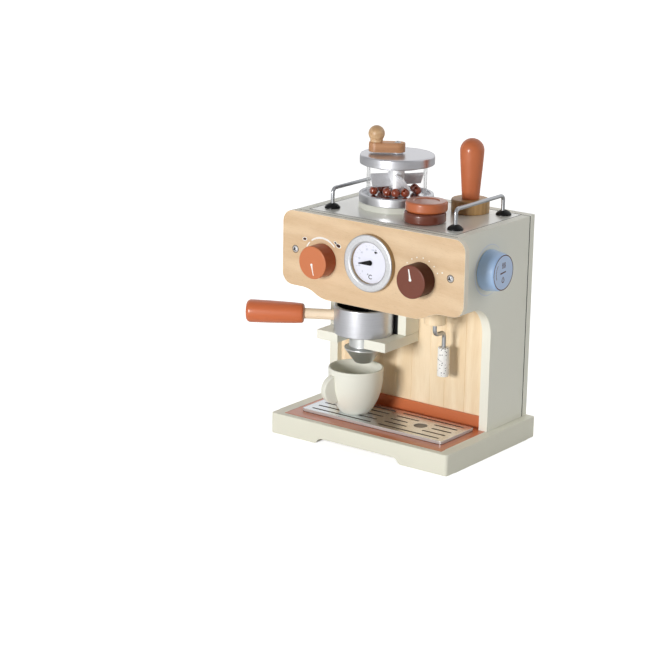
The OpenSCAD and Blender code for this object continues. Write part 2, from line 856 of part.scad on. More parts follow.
module knob(r, face_r, length, edge_r) difference() {
    translate([0, 0, run_gap])
        turned(concat([[0, 0], [r, 0]], arc(face_r - edge_r, length - edge_r, edge_r, 0, 90), [[0, length]]));
    cylinder(r = spindle_d / 2 + fixed_fit, h = run_gap + spindle_depth);
}

// A spindle whose inner end carries the retainer behind a wall of the given thickness
module spindle(wall) translate([0, 0, -wall - run_gap - retainer_t])
    cylinder(d = spindle_d, h = wall + 2 * run_gap + retainer_t + spindle_depth);

module retainer(wall) translate([0, 0, -wall - run_gap - retainer_t]) difference() {
    cylinder(d = retainer_d, h = retainer_t);
    translate([0, 0, -cut_over]) cylinder(r = spindle_d / 2 + fixed_fit, h = retainer_t + 2 * cut_over);
}

module at_strength() translate([-knob_spread / 2, fascia_y, knob_z]) to_front() children();

module at_temperature() translate([knob_spread / 2, fascia_y, knob_z]) to_front() children();

module at_steam_knob() translate([cabinet_x, steam_knob_y, steam_knob_z]) to_right() children();

module strength_knob() color(orange) at_strength() knob(knob_d / 2, knob_d / 2, knob_l, knob_edge_r);

module strength_spindle() color(steel) at_strength() spindle(fascia_t + board_t);

module strength_retainer() color(beech) at_strength() retainer(fascia_t + board_t);

module temperature_knob() color(brown) at_temperature() knob(knob_d / 2, knob_d / 2, knob_l, knob_edge_r);

module temperature_spindle() color(steel) at_temperature() spindle(fascia_t + board_t);

module temperature_retainer() color(beech) at_temperature() retainer(fascia_t + board_t);

module steam_knob() color(blue)
    at_steam_knob() knob(steam_knob_d / 2, steam_face_d / 2, steam_knob_l, steam_edge_r);

module steam_spindle() color(steel) at_steam_knob() spindle(panel_t);

module steam_retainer() color(beech) at_steam_knob() retainer(panel_t);

// ---- Gauge ----

module at_gauge(y) translate([0, y, gauge_z]) to_front() children();

module gauge_ring() color(silver) at_gauge(fascia_y) rotate_extrude() polygon(concat(
    [[gauge_open_d / 2, 0], [gauge_d / 2, 0]],
    arc(gauge_d / 2 - gauge_edge_r, gauge_t - gauge_edge_r, gauge_edge_r, 0, 90),
    arc(gauge_open_d / 2 + gauge_edge_r, gauge_t - gauge_edge_r, gauge_edge_r, 90, 180)
));

module gauge_dial() color(white) difference() {
    at_gauge(fascia_y) cylinder(r = gauge_open_d / 2 - fixed_fit, h = dial_t);
    needle_pin_shank(needle_pin_d / 2 + fixed_fit);
}

module gauge_needle() color(black) at_gauge(needle_y) linear_extrude(needle_t) difference() {
    union() {
        circle(d = needle_hub_d);
        rotate(needle_angle)
            polygon([[0, -needle_hub_d / 2], [needle_l, -needle_tip_w / 2],
                     [needle_l, needle_tip_w / 2], [0, needle_hub_d / 2]]);
    }
    circle(needle_pin_d / 2 + run_fit);
}

module needle_pin_shank(r) at_gauge(fascia_y)
    translate([0, 0, -needle_pin_l + dial_t])
        cylinder(r = r, h = needle_pin_l + needle_t + 2 * run_gap);

module gauge_pin() color(steel) {
    needle_pin_shank(needle_pin_d / 2);
    at_gauge(needle_y - needle_t - run_gap) cylinder(d = needle_head_d, h = needle_t);
}

// ---- Fork, cheeks and cradle ----

module fork_holder() color(cream) difference() {
    block([group_x - fork_w / 2, fork_front_y, fork_z - fork_t], [group_x + fork_w / 2, wall_y, fork_z]);
    translate([group_x, group_y, fork_z - fork_t - cut_over])
        cylinder(d = slot_w, h = fork_t + 2 * cut_over);
    block([group_x - slot_w / 2, fork_front_y - cut_over, fork_z - fork_t - cut_over],
          [group_x + slot_w / 2, group_y, fork_z + cut_over]);
}

module cheek(side) {
    outer = group_x + side * fork_w / 2;
    block([min(outer, outer - side * cheek_t), cheek_y, fork_z],
          [max(outer, outer - side * cheek_t), wall_y, head_z]);
}

module cheek_left() color(cream) cheek(-1);

module cheek_right() color(cream) cheek(1);

module cup_cradle() color(black) difference() {
    block([group_x - fork_w / 2 + cheek_t, cheek_y, fork_z],
          [group_x + fork_w / 2 - cheek_t, wall_y, head_z]);
    translate([group_x, group_y, fork_z - cut_over])
        cylinder(r = cup_r + cradle_gap, h = group_h + 2 * cut_over);
}

// ---- Portafilter ----

// Draws along the handle's axis, outward from the cup's axis
module along_handle() translate([group_x, group_y, handle_z])
    rotate([0, 0, handle_angle])
        rotate([0, -90, 0])
            children();

module portafilter_cup() color(silver) translate([group_x, group_y, fork_z]) difference() {
    cylinder(r = cup_r, h = cup_h);
    translate([0, 0, cup_floor]) cylinder(r = cup_r - cup_wall, h = cup_h);
    translate([0, 0, -cut_over]) cylinder(r = swivel_d / 2 + run_fit, h = cup_floor + 2 * cut_over);
}

module handle_stem() color(pale_wood) difference() {
    along_handle() cylinder(d = stem_d, h = grip_start + stem_depth);
    translate([group_x, group_y, fork_z]) cylinder(r = cup_r, h = cup_h);
}

module handle_grip() color(orange) along_handle() translate([0, 0, grip_start]) difference() {
    turned(concat(
        [[0, 0]],
        arc(grip_d1 / 2 - grip_edge_r, grip_edge_r, grip_edge_r, -90, 0),
        arc(grip_d2 / 2 - grip_edge_r, grip_l - grip_edge_r, grip_edge_r, 0, 90),
        [[0, grip_l]]
    ));
    translate([0, 0, -cut_over]) cylinder(r = stem_d / 2 + fixed_fit, h = stem_depth + cut_over);
}

// Funnel, neck and the headed pin that the cup turns on, turned in one piece
module spout() color(steel) translate([group_x, group_y, 0]) difference() {
    rotate_extrude() polygon([
        [0, funnel_z - funnel_h], [funnel_d / 2, funnel_z - funnel_h],
        [flange_d / 2, funnel_z], [flange_d / 2, funnel_z + flange_rim],
        [neck_d / 2, flange_z], [neck_d / 2, fork_z],
        [swivel_d / 2, fork_z], [swivel_d / 2, fork_z + cup_floor + run_gap],
        [swivel_head_d / 2, fork_z + cup_floor + run_gap],
        [swivel_head_d / 2, fork_z + cup_floor + run_gap + swivel_head_h],
        [0, fork_z + cup_floor + run_gap + swivel_head_h]
    ]);
    translate([0, 0, funnel_z - funnel_h - cut_over]) cylinder(d = outlet_d, h = outlet_depth + cut_over);
}

// ---- Steam wand ----

module steam_boss() color(pale_wood) translate([wand_x, wand_y, boss_z]) difference() {
    cylinder(d = boss_d, h = boss_h);
    translate([0, 0, -cut_over]) cylinder(r = pipe_d / 2 + run_fit, h = boss_h + 2 * cut_over);
    translate([0, 0, boss_h - pipe_collar_t - 2 * run_gap])
        cylinder(d = pipe_collar_d + 2 * run_gap, h = pipe_collar_t + 2 * run_gap + cut_over);
}

module steam_pipe() color(steel) {
    front_top = crossing_z + pipe_bend_r;
    rear_y = wand_y + crossing_l;
    translate([wand_x, wand_y, front_top]) cylinder(d = pipe_d, h = head_z - run_gap - front_top);
    translate([wand_x, wand_y, head_z - run_gap - pipe_collar_t])
        cylinder(d = pipe_collar_d, h = pipe_collar_t);
    translate([wand_x, wand_y + pipe_bend_r, front_top]) bend(180, pipe_bend_r, pipe_d / 2);
    translate([wand_x, wand_y + pipe_bend_r, crossing_z])
        rotate([-90, 0, 0]) cylinder(d = pipe_d, h = crossing_l - 2 * pipe_bend_r);
    translate([wand_x, rear_y - pipe_bend_r, crossing_z - pipe_bend_r]) bend(0, pipe_bend_r, pipe_d / 2);
    translate([wand_x, rear_y, tip_z + tip_l - pipe_depth])
        cylinder(d = pipe_d, h = tip_drop - pipe_bend_r + pipe_depth);
}

module steam_tip() color(white) translate([wand_x, wand_y + crossing_l, tip_z]) difference() {
    turned(disc_outline(tip_d / 2, tip_l, tip_edge_r, tip_edge_r));
    translate([0, 0, tip_l - pipe_depth]) cylinder(r = pipe_d / 2 + fixed_fit, h = pipe_depth + cut_over);
}

// ---- Grinder ----

module at_grinder(z) translate([grinder_x, grinder_y, z]) children();

module grinder_collar() color(cream) at_grinder(top_z) cylinder(d = grinder_d, h = collar_h);

module hopper_base() color(silver) at_grinder(ring_z) difference() {
    turned(disc_outline(grinder_d / 2, ring_h, ring_edge_r));
    translate([0, 0, ring_h - ring_depth]) cylinder(r = grinder_d / 2 - ring_rim, h = ring_depth + cut_over);
    translate([0, 0, ring_h - ring_depth - rotor_pin_l - run_gap])
        cylinder(r = rotor_pin_d / 2 + run_fit, h = rotor_pin_l + run_gap + cut_over);
}

module hopper_tube() color(clear) at_grinder(hopper_z) difference() {
    cylinder(d = hopper_d, h = lid_z - hopper_z);
    translate([0, 0, -cut_over]) cylinder(r = hopper_inner_r, h = lid_z - hopper_z + 2 * cut_over);
}

module hopper_lid() color(silver) difference() {
    union() {
        at_grinder(lid_z) turned(disc_outline(grinder_d / 2, lid_t, lid_edge_r, lid_foot_r));
        at_grinder(lid_z - lid_plug_h) cylinder(r = hopper_inner_r - run_gap, h = lid_plug_h + join_over);
    }
    at_grinder(lid_z - lid_plug_h - cut_over)
        cylinder(r = shaft_d / 2 + run_fit, h = lid_t + lid_plug_h + 2 * cut_over);
}

module grinder_rotor() color(silver) {
    at_grinder(hopper_z + run_gap) cylinder(d = column_d, h = column_top_z - hopper_z - run_gap);
    at_grinder(hopper_z + run_gap - rotor_pin_l) cylinder(d = rotor_pin_d, h = rotor_pin_l + join_over);
    at_grinder(column_top_z - join_over)
        cylinder(d = shaft_d, h = arm_top_z - column_top_z + join_over);
    for (i = [0:paddle_count - 1])
        at_grinder(paddle_z)
            rotate([0, 0, i * 360 / paddle_count + paddle_start])
                rotate([paddle_tilt, 0, 0])
                    translate([0, -paddle_t / 2, -paddle_w / 2])
                        cube([paddle_reach, paddle_t, paddle_w]);
}

module coffee_beans() color(bean_brown) for (p = bean_places)
    at_grinder(hopper_z + bean_d / 2)
        translate([p.x * cos(p.y), p.x * sin(p.y), 0])
            sphere(d = bean_d);

// ---- Crank ----

// Draws along the crank, from its shaft toward the ball
module along_crank(z) at_grinder(z) rotate([0, 0, 180 + crank_angle]) children();

module crank_arm() color(beech) difference() {
    union() {
        along_crank(arm_z) linear_extrude(crank_t) {
            circle(d = crank_w);
            translate([crank_l, 0]) circle(d = crank_w);
            translate([0, -crank_w / 2]) square([crank_l, crank_w]);
        }
        at_grinder(arm_z - crank_collar_h) cylinder(d = crank_collar_d, h = crank_collar_h + join_over);
    }
    at_grinder(arm_z - crank_collar_h - cut_over)
        cylinder(r = shaft_d / 2 + fixed_fit, h = crank_t + crank_collar_h + 2 * cut_over);
    along_crank(arm_top_z - ball_peg_l)
        translate([crank_l, 0, 0]) cylinder(r = ball_peg_d / 2 + fixed_fit, h = ball_peg_l + cut_over);
}

module crank_ball() color(beech) translate([ball_x, ball_y, arm_top_z]) {
    translate([0, 0, ball_lift + ball_d / 2]) sphere(d = ball_d);
    cylinder(d = ball_foot_d, h = ball_foot_h);
    translate([0, 0, -ball_peg_l]) cylinder(d = ball_peg_d, h = ball_peg_l + join_over);
}

module crank_screw() color(steel) at_grinder(arm_top_z) screw_head();

// ---- Cup rails ----

module rail_legs(r) for (side = [-1, 1], y = [wire_front_y, wire_front_y + rail_l])
    translate([side * wire_x, y, top_z - leg_depth])
        cylinder(r = r, h = leg_depth + cut_over);

module cup_rail(x) translate([x, wire_front_y, top_z]) {
    wire_r = wire_d / 2;
    for (y = [0, rail_l])
        translate([0, y, -leg_depth]) cylinder(r = wire_r, h = leg_depth + rail_h - rail_bend_r);
    translate([0, rail_bend_r, rail_h - rail_bend_r]) bend(90, rail_bend_r, wire_r);
    translate([0, rail_l - rail_bend_r, rail_h - rail_bend_r]) bend(0, rail_bend_r, wire_r);
    translate([0, rail_bend_r, rail_h])
        rotate([-90, 0, 0]) cylinder(r = wire_r, h = rail_l - 2 * rail_bend_r);
}

module rail_left() color(steel) cup_rail(-wire_x);

module rail_right() color(steel) cup_rail(wire_x);

module rail_feet() color(black) for (side = [-1, 1], y = [wire_front_y, wire_front_y + rail_l])
    translate([side * wire_x, y, top_z])
        difference() {
            dome_h = foot_h - foot_rim;
            dome_r = (pow(foot_d / 2, 2) + pow(dome_h, 2)) / (2 * dome_h);
            intersection() {
                cylinder(d = foot_d, h = foot_h);
                translate([0, 0, foot_h - dome_r]) sphere(dome_r);
            }
            translate([0, 0, -cut_over]) cylinder(r = wire_d / 2 + fixed_fit, h = foot_h + 2 * cut_over);
        }

// ---- Pods and tamper ----

module pod() difference() {
    turned(disc_outline(pod_d / 2, pod_t, pod_edge_r, pod_edge_r));
    translate([0, 0, pod_t - recess_depth]) cylinder(d = recess_d, h = recess_depth + cut_over);
}

module pod_brown() color(brown) translate([pod_x, pod_y, top_z]) pod();

module pod_orange() color(terracotta) translate([pod_x - pod_shift, pod_y + pod_back, pod_top_z]) pod();

module tamper_base() color(beech) translate([tamper_x, tamper_y, top_z]) difference() {
    turned(disc_outline(tamper_d / 2, tamper_h, tamper_edge_r, tamper_edge_r));
    translate([0, 0, tamper_h - peg_l]) cylinder(r = peg_d / 2 + fixed_fit, h = peg_l + cut_over);
}

module tamper_handle() color(terracotta) translate([tamper_x, tamper_y, top_z + tamper_h])
    turned(concat(
        [[0, -peg_l], [peg_d / 2, -peg_l], [peg_d / 2, 0], [handle_d1 / 2, 0]],
        arc(0, handle_l, handle_d2 / 2, 0, 90)
    ));

// ---- Mug ----

// Radius of the mug's outside at a share of its height
function mug_r(share) = mug_foot_d / 2 + (mug_d - mug_foot_d) / 2 * (1 - pow(1 - share, mug_power));

mug_outside = [for (i = [0:mug_rings]) [mug_r(i / mug_rings), mug_h * i / mug_rings]];
mug_inside = [for (i = [mug_rings:-1:1])
    [mug_r(i / mug_rings) - mug_wall, mug_floor + (mug_h - mug_floor) * i / mug_rings]];

module mug() color(white) translate([mug_x, mug_y, grille_z]) {
    turned(concat([[0, 0]], mug_outside, mug_inside,
                  [[mug_foot_d / 2 - mug_wall, mug_floor], [0, mug_floor]]));
    difference() {
        rotate([0, 0, -ear_turn])
            translate([-ear_t / 2, ear_r - mug_d / 2 - ear_reach, ear_h])
                rotate([0, 90, 0])
                    cylinder(r = ear_r, h = ear_t);
        turned(concat([[0, 0]], mug_outside, [[0, mug_h]]));
    }
}

// ---- Drip grille ----

slot_gap = mark_d / 2 + mark_land;

// Stretches of slot in each row, from the middle outward: the rows near the round marks are cut short
function slot_spans(row) =
    abs(row) == slot_rows ? [[slot_start, slot_end]] :
    abs(row) > 0 ? [[slot_start, mark_offset - mark_d / 2 - row_land],
                    [mark_offset + mark_d / 2 + row_land, slot_end]] :
    [[slot_start, mark_offset - slot_gap], [mark_offset + slot_gap - row_land, slot_end]];

module slot(x0, x1) {
    r = grille_slot_w / 2;
    translate([x0 + r, -r]) square([x1 - x0 - 2 * r, 2 * r]);
    for (x = [x0 + r, x1 - r])
        translate([x, 0]) circle(r);
}

module sunk_marks() {
    for (side = [0, 1], row = [-slot_rows:slot_rows], span = slot_spans(row))
        mirror([side, 0])
            translate([0, row * slot_pitch])
                slot(span[0], span[1]);
    for (side = [-1, 1])
        translate([side * mark_offset, 0]) circle(d = mark_d);
}

module drip_grille() color(steel) translate([0, grille_y, deck_z]) difference() {
    linear_extrude(grille_t) rounded_rect(grille_w, grille_d, grille_corner_r);
    translate([0, 0, grille_t - sunk_depth]) linear_extrude(sunk_depth + cut_over) sunk_marks();
}

base_front_rail();
base_rear_rail();
base_left_rail();
base_right_rail();
base_centre_rail();
base_deck();
skirting();
side_panel_left();
side_panel_right();
wall_panel();
head_floor();
head_front();
top_panel();
rear_cover();
cover_screws();
assembly_dowels();
fascia();
fascia_screws();
strength_knob();
strength_spindle();
strength_retainer();
temperature_knob();
temperature_spindle();
temperature_retainer();
steam_knob();
steam_spindle();
steam_retainer();
gauge_ring();
gauge_dial();
gauge_needle();
gauge_pin();
fork_holder();
cheek_left();
cheek_right();
cup_cradle();
portafilter_cup();
handle_stem();
handle_grip();
spout();
steam_boss();
steam_pipe();
steam_tip();
grinder_collar();
hopper_base();
hopper_tube();
hopper_lid();
grinder_rotor();
crank_arm();
crank_ball();
crank_screw();
coffee_beans();
rail_left();
rail_right();
rail_feet();
pod_orange();
pod_brown();
tamper_base();
tamper_handle();
mug();
drip_grille();
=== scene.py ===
import json
import math
import random

import bmesh
import bpy
from mathutils import Matrix, Vector

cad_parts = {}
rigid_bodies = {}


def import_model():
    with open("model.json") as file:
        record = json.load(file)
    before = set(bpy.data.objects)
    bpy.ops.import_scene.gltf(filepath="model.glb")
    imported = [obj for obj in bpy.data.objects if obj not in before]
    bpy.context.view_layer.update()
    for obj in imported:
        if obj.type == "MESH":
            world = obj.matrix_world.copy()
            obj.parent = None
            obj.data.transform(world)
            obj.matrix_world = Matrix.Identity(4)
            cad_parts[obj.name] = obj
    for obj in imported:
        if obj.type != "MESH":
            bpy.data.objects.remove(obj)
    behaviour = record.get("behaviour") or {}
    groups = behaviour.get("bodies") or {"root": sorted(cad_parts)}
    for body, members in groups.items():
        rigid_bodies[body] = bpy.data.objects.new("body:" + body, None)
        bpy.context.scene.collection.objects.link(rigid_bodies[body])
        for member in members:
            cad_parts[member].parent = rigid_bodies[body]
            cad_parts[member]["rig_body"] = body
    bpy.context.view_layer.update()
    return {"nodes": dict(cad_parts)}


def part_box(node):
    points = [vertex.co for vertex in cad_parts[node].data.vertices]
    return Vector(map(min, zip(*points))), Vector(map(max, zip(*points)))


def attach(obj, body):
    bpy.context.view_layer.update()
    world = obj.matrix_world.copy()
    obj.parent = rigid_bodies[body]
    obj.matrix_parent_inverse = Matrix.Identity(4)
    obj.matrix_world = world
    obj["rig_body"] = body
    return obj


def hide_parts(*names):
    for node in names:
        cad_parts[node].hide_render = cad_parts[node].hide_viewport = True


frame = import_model()
scene = bpy.context.scene
scene.view_settings.view_transform = "Standard"
mm = 0.001
finishes = {}  # the material of each finish, by its name

# Camera, lights and background

cameraSetup = {
    "place": (1.44332, -2.11594, 0.84990),  # metres
    "turn": 36.499,  # degrees to the right of the front
    "down": 15.544,
    "roll": 1.032,
    "lens": 120.9,
    "sensor": 36.0,
    "farthest": 50,
}

# fades: from and to how far back, or up, a ray points
lightSetup = {
    "keyPlace": (0.0, -1.75, 0.45),
    "keyAim": (0, 0, 0.16),
    "keySize": 0.42,
    "keyPower": 23.0,
    "fillFront": 0.03,  # strength of the plain light from the front
    "fillBack": 1.56,  # and from behind
    "fillFade": (-0.25, 0.5),
    "fillDim": 0.48,  # how much of it is missing straight above
    "dimFade": (0.2, 1.0),
    "shineSide": 0.48,  # what glossy surfaces see at the sides
    "shineFront": 0.8,  # in front
    "frontFade": (-0.95, -0.3),
    "shineBack": 1.0,  # and behind
    "backFade": (-0.1, 0.5),
    "floorSize": 14.0,
    "floorTone": (230, 230, 228),
    "floorGlow": 0.74,  # lifts the floor to white for the camera
    "floorShine": (0.2, 0.12),  # what glossy surfaces see of it, in front and behind
    "floorTurn": 15,
    "floorFade": (-0.3, 0.3),  # metres
}


class Value:
    # One shader socket. A sum on it adds Math nodes.
    def __init__(self, finish, socket):
        self.finish = finish
        self.socket = socket

    def maths(self, operation, *terms):
        return self.finish.node("ShaderNodeMath", {"operation": operation}, dict(enumerate(terms)))

    def __add__(self, other):
        return self.maths("ADD", self, other)

    def __sub__(self, other):
        return self.maths("SUBTRACT", self, other)

    def __rsub__(self, other):
        return self.maths("SUBTRACT", other, self)

    def __mul__(self, other):
        return self.maths("MULTIPLY", self, other)

    __radd__ = __add__
    __rmul__ = __mul__

    def sine(self):
        return self.maths("SINE", self)

    def larger(self, other):
        return self.maths("MAXIMUM", self, other)

    def step(self, low, high, start=0.0, end=1.0):
        # from start to end, smoothly, as this value goes from low to high
        return self.finish.node(
            "ShaderNodeMapRange", {"interpolation_type": "SMOOTHSTEP"},
            {"Value": self, "From Min": low, "From Max": high, "To Min": start, "To Max": end})


class Finish:
    # One material or world. Constants are set on its shader, and what varies is fed in by nodes.
    def __init__(self, tree, shader, output, fixed):
        self.tree = tree
        self.tree.nodes.clear()
        self.shader = self.node(shader, {}, fixed)
        self.node(output, {}, {"Surface": self.shader})

    def node(self, kind, settings, sockets, out=0):
        made = self.tree.nodes.new(kind)
        for key, value in settings.items():
            setattr(made, key, value)
        for key, value in sockets.items():
            if isinstance(value, Value):
                self.tree.links.new(value.socket, made.inputs[key])
            else:
                made.inputs[key].default_value = value
        return Value(self, made.outputs[out]) if made.outputs else made

    def feed(self, name, value):
        self.tree.links.new(value.socket, self.shader.socket.node.inputs[name])

    def where(self, size=(1, 1, 1), turn=(0, 0, 0), centre=(0, 0, 0)):
        # a place on the piece, counted in steps of size metres along turned axes
        place = self.node("ShaderNodeTexCoord", {}, {}, out="Object")
        return self.node("ShaderNodeMapping", {"vector_type": "TEXTURE"}, {
            "Vector": place, "Location": centre, "Scale": size,
            "Rotation": [math.radians(angle) for angle in turn]})

    def noise(self, size, detail=2.0, rough=0.5, turn=(0, 0, 0)):
        return self.node("ShaderNodeTexNoise", {}, {
            "Vector": self.where(size, turn), "Scale": 1.0, "Detail": detail, "Roughness": rough})

    def parts(self, vector, *names):
        split = self.node("ShaderNodeSeparateXYZ", {}, {0: vector}).socket.node
        return [Value(self, split.outputs[name]) for name in names]

    def mix(self, amount, low, high):
        # sockets 0, 6 and 7 take the amount and the two colours, and 2 gives the mix
        return self.node("ShaderNodeMix", {"data_type": "RGBA"}, {0: amount, 6: low, 7: high}, out=2)

    def bump(self, height, depth):
        self.feed("Normal", self.node("ShaderNodeBump", {}, {"Height": height, "Distance": depth}))


def linear(share):
    # the light of a screen value between 0 and 1
    return share / 12.92 if share <= 0.04045 else ((share + 0.055) / 1.055) ** 2.4


def ink(colour, shade=1.0):
    # a screen colour, 0 to 255, as shaders want it
    return [linear(part / 255) * shade for part in colour] + [1.0]


def newFinish(name, fixed):
    material = bpy.data.materials.new(name)
    material.use_nodes = True
    finishes[name] = material
    return Finish(material.node_tree, "ShaderNodeBsdfPrincipled", "ShaderNodeOutputMaterial", fixed)


def turnedBy(angle, axis="Z"):
    return Matrix.Rotation(math.radians(angle), 4, axis)


def newObject(name, data):
    made = bpy.data.objects.new(name, data)
    scene.collection.objects.link(made)
    return made


def newMesh(name, shape):
    mesh = bpy.data.meshes.new(name)
    shape.to_mesh(mesh)
    shape.free()
    return mesh


def placeCamera(setup):
    data = bpy.data.cameras.new("camera")
    data.lens = setup["lens"]
    data.sensor_width = setup["sensor"]
    data.clip_end = setup["farthest"]
    camera = newObject("camera", data)
    camera.matrix_world = (Matrix.Translation(setup["place"]) @ turnedBy(setup["turn"])
                           @ turnedBy(90 - setup["down"], "X") @ turnedBy(setup["roll"]))
    scene.camera = camera


def placeKey(setup):
    data = bpy.data.lights.new("key", "AREA")
    data.shape = "SQUARE"
    data.size = setup["keySize"]
    data.energy = setup["keyPower"]
    key = newObject("key", data)
    place = Vector(setup["keyPlace"])
    aim = (Vector(setup["keyAim"]) - place).to_track_quat("-Z", "Y")
    key.matrix_world = Matrix.Translation(place) @ aim.to_matrix().to_4x4()


def seenDirectly(finish):
    # 1 for the camera, also through clear plastic, and 1 for what is seen in gloss
    path = finish.node("ShaderNodeLightPath", {}, {}, out="Is Camera Ray")
    rays = path.socket.node.outputs
    both = path.larger(Value(finish, rays["Is Transmission Ray"]))
    return both, Value(finish, rays["Is Glossy Ray"])


def buildWorld(setup):
    world = bpy.data.worlds.new("studio")
    world.use_nodes = True
    scene.world = world
    air = Finish(world.node_tree, "ShaderNodeBackground", "ShaderNodeOutputWorld",
                 {"Color": (1, 1, 1, 1)})
    camera, glossy = seenDirectly(air)
    place = air.node("ShaderNodeTexCoord", {}, {}, out="Generated")
    depth, height = air.parts(place, "Y", "Z")
    side = setup["shineSide"]
    shine = (depth.step(*setup["frontFade"], setup["shineFront"] - side, 0.0) + side
             + depth.step(*setup["backFade"], 0.0, setup["shineBack"] - side))
    fill = (depth.step(*setup["fillFade"], setup["fillFront"], setup["fillBack"])
            * height.step(*setup["dimFade"], 1.0, 1 - setup["fillDim"]))
    plain = glossy * (shine - fill) + fill
    air.feed("Strength", camera * (1 - plain) + plain)


def buildFloor(setup):
    finish = newFinish("floor", {"Base Color": ink(setup["floorTone"]), "Roughness": 0.9,
                                 "Specular IOR Level": 0.0, "Emission Color": (1, 1, 1, 1)})
    camera, glossy = seenDirectly(finish)
    behind = finish.parts(finish.where(turn=(0, 0, setup["floorTurn"])), "Y")[0]
    shine = behind.step(*setup["floorFade"], *setup["floorShine"])
    finish.feed("Emission Strength", camera * setup["floorGlow"] + glossy * shine)
    shape = bmesh.new()
    bmesh.ops.create_grid(shape, x_segments=1, y_segments=1, size=setup["floorSize"] / 2)
    floor = newObject("floor", newMesh("floor", shape))
    floor.data.materials.append(finishes["floor"])


placeCamera(cameraSetup)
placeKey(lightSetup)
buildWorld(lightSetup)
buildFloor(lightSetup)
print("studio ready")

# Finishes

# sizes of patterns in metres
patternSetup = {
    "cloud": (0.06, 0.06, 0.06),  # slow changes of tone in paint
    "spray": (0.0009, 0.0009, 0.0009),  # the fine skin of sprayed paint
    "sheen": (0.03, 0.03, 0.03),  # slow changes of tone in metal
    "smear": (0.02, 0.02, 0.02),  # and of gloss in clear plastic
    "fibre": (0.016, 0.0007, 0.0007),  # wood, along its grain
    "blotch": (0.03, 0.008, 0.008),
    "pore": (0.0035, 0.0005, 0.0005),
    "plyFibre": (0.012, 0.0007, 0.012),  # the cut edge of plywood
    "endless": 1000.0,  # leaves a pattern unchanged along one axis
}


def paint(name, colour, rough=0.42, tone=0.03, fibre=(0.03, 0.03, 0.0012), depth=0.00003, coat=0.0,
          gloss=0.3, coatRough=0.12):
    # satin paint over wood: slow changes of tone, fine spray and the fibres below
    finish = newFinish(name, {"Coat Weight": coat, "Coat Roughness": coatRough,
                              "Specular IOR Level": gloss})
    cloud = finish.noise(patternSetup["cloud"], 3)
    spray = finish.noise(patternSetup["spray"], 2)
    grain = finish.noise(fibre, 3, 0.6)
    finish.feed("Base Color", finish.mix(
        cloud * 0.6 + grain * 0.4, ink(colour, 1 - tone), ink(colour, 1 + tone)))
    finish.feed("Roughness", cloud * 0.12 + (rough - 0.06))
    finish.bump(spray * 0.5 + grain, depth)


def silver(name, colour, rough=0.34, metal=1.0, flake=(0.0006, 0.0006, 0.0006), depth=0.00002,
           spread=0.1):
    # metallic paint: fine flakes in a smooth film
    finish = newFinish(name, {"Metallic": metal})
    flakes = finish.noise(flake, 2, 0.7)
    cloud = finish.noise(patternSetup["sheen"], 2)
    finish.feed("Base Color", finish.mix(
        flakes * 0.7 + cloud * 0.3, ink(colour, 1 - spread), ink(colour, 1 + spread)))
    finish.feed("Roughness", flakes * 0.1 + cloud * 0.06 + (rough - 0.08))
    finish.bump(flakes, depth)


def wood(name, dark, light, length, turn=(0, 0, 0), heart=(0, 0, 0), ring=0.006, rough=0.5,
         contrast=1.0, pores=0.0, sway=1.2, depth=0.00004):
    # grain runs along the turned X axis; heart is a point of the log's middle line
    finish = newFinish(name, {"Coat Weight": 0.08, "Coat Roughness": 0.35})
    wave = finish.noise((length, length * 0.16, length * 0.16), 2, 0.5, turn)
    across = finish.where((patternSetup["endless"], 1, 1), turn, heart)
    radius = finish.node("ShaderNodeVectorMath", {"operation": "LENGTH"}, {0: across}, out="Value")
    rings = ((radius + wave * (ring * sway)) * (math.tau / ring)).sine() * 0.5 + 0.5
    rings = rings * rings * 0.5
    rings += finish.noise((length * 1.4, length * 0.05, length * 0.05), 3, 0.6, turn) * 0.5
    fibre = finish.noise(patternSetup["fibre"], 3, 0.7, turn)
    blotch = finish.noise(patternSetup["blotch"], 2, 0.5, turn)
    tone = rings * 0.4 + fibre * 0.45 + blotch * 0.3 - 0.07
    amount = (tone - 0.5) * contrast + 0.5
    colour = finish.mix(amount.step(0.15, 0.85), ink(dark), ink(light))
    if pores:
        dash = finish.noise(patternSetup["pore"], 1, 0.5, turn).step(0.66, 0.74)
        colour = finish.mix(dash * pores, colour, ink([part * 0.72 for part in dark]))
    finish.feed("Base Color", colour)
    finish.feed("Roughness", fibre * 0.16 + (rough - 0.08))
    finish.bump(fibre * 0.7 + rings * 0.3, depth)


def speckled(name, colour, speck, size):
    # white paint with round dark specks, size apart
    finish = newFinish(name, {})
    spot = finish.node("ShaderNodeTexVoronoi", {"feature": "F1"}, {
        "Vector": finish.where((size, size, size)), "Scale": 1.0, "Randomness": 0.75}, out="Distance")
    spray = finish.noise(patternSetup["spray"], 2)
    mask = (spot + spray * 0.03).step(0.22, 0.28, 1.0, 0.0)
    finish.feed("Base Color", finish.mix(mask, ink(colour), ink(speck)))
    finish.feed("Roughness", mask * 0.15 + 0.4)
    finish.bump(spray, 0.00002)


def clearPlastic(name, colour, edgeColour):
    # clear where it is seen straight on, and grey and shiny at its edges
    finish = newFinish(name, {"IOR": 1.49, "Metallic": 0.9})
    edge = finish.node("ShaderNodeLayerWeight", {}, {"Blend": 0.5}, out="Facing")
    smear = finish.noise(patternSetup["smear"], 2)
    finish.feed("Base Color", finish.mix(edge.step(0.86, 0.98), ink(colour), ink(edgeColour)))
    finish.feed("Alpha", edge.step(0.5, 1.0, 0.002, 0.85))
    finish.feed("Roughness", smear * 0.06 + 0.04)


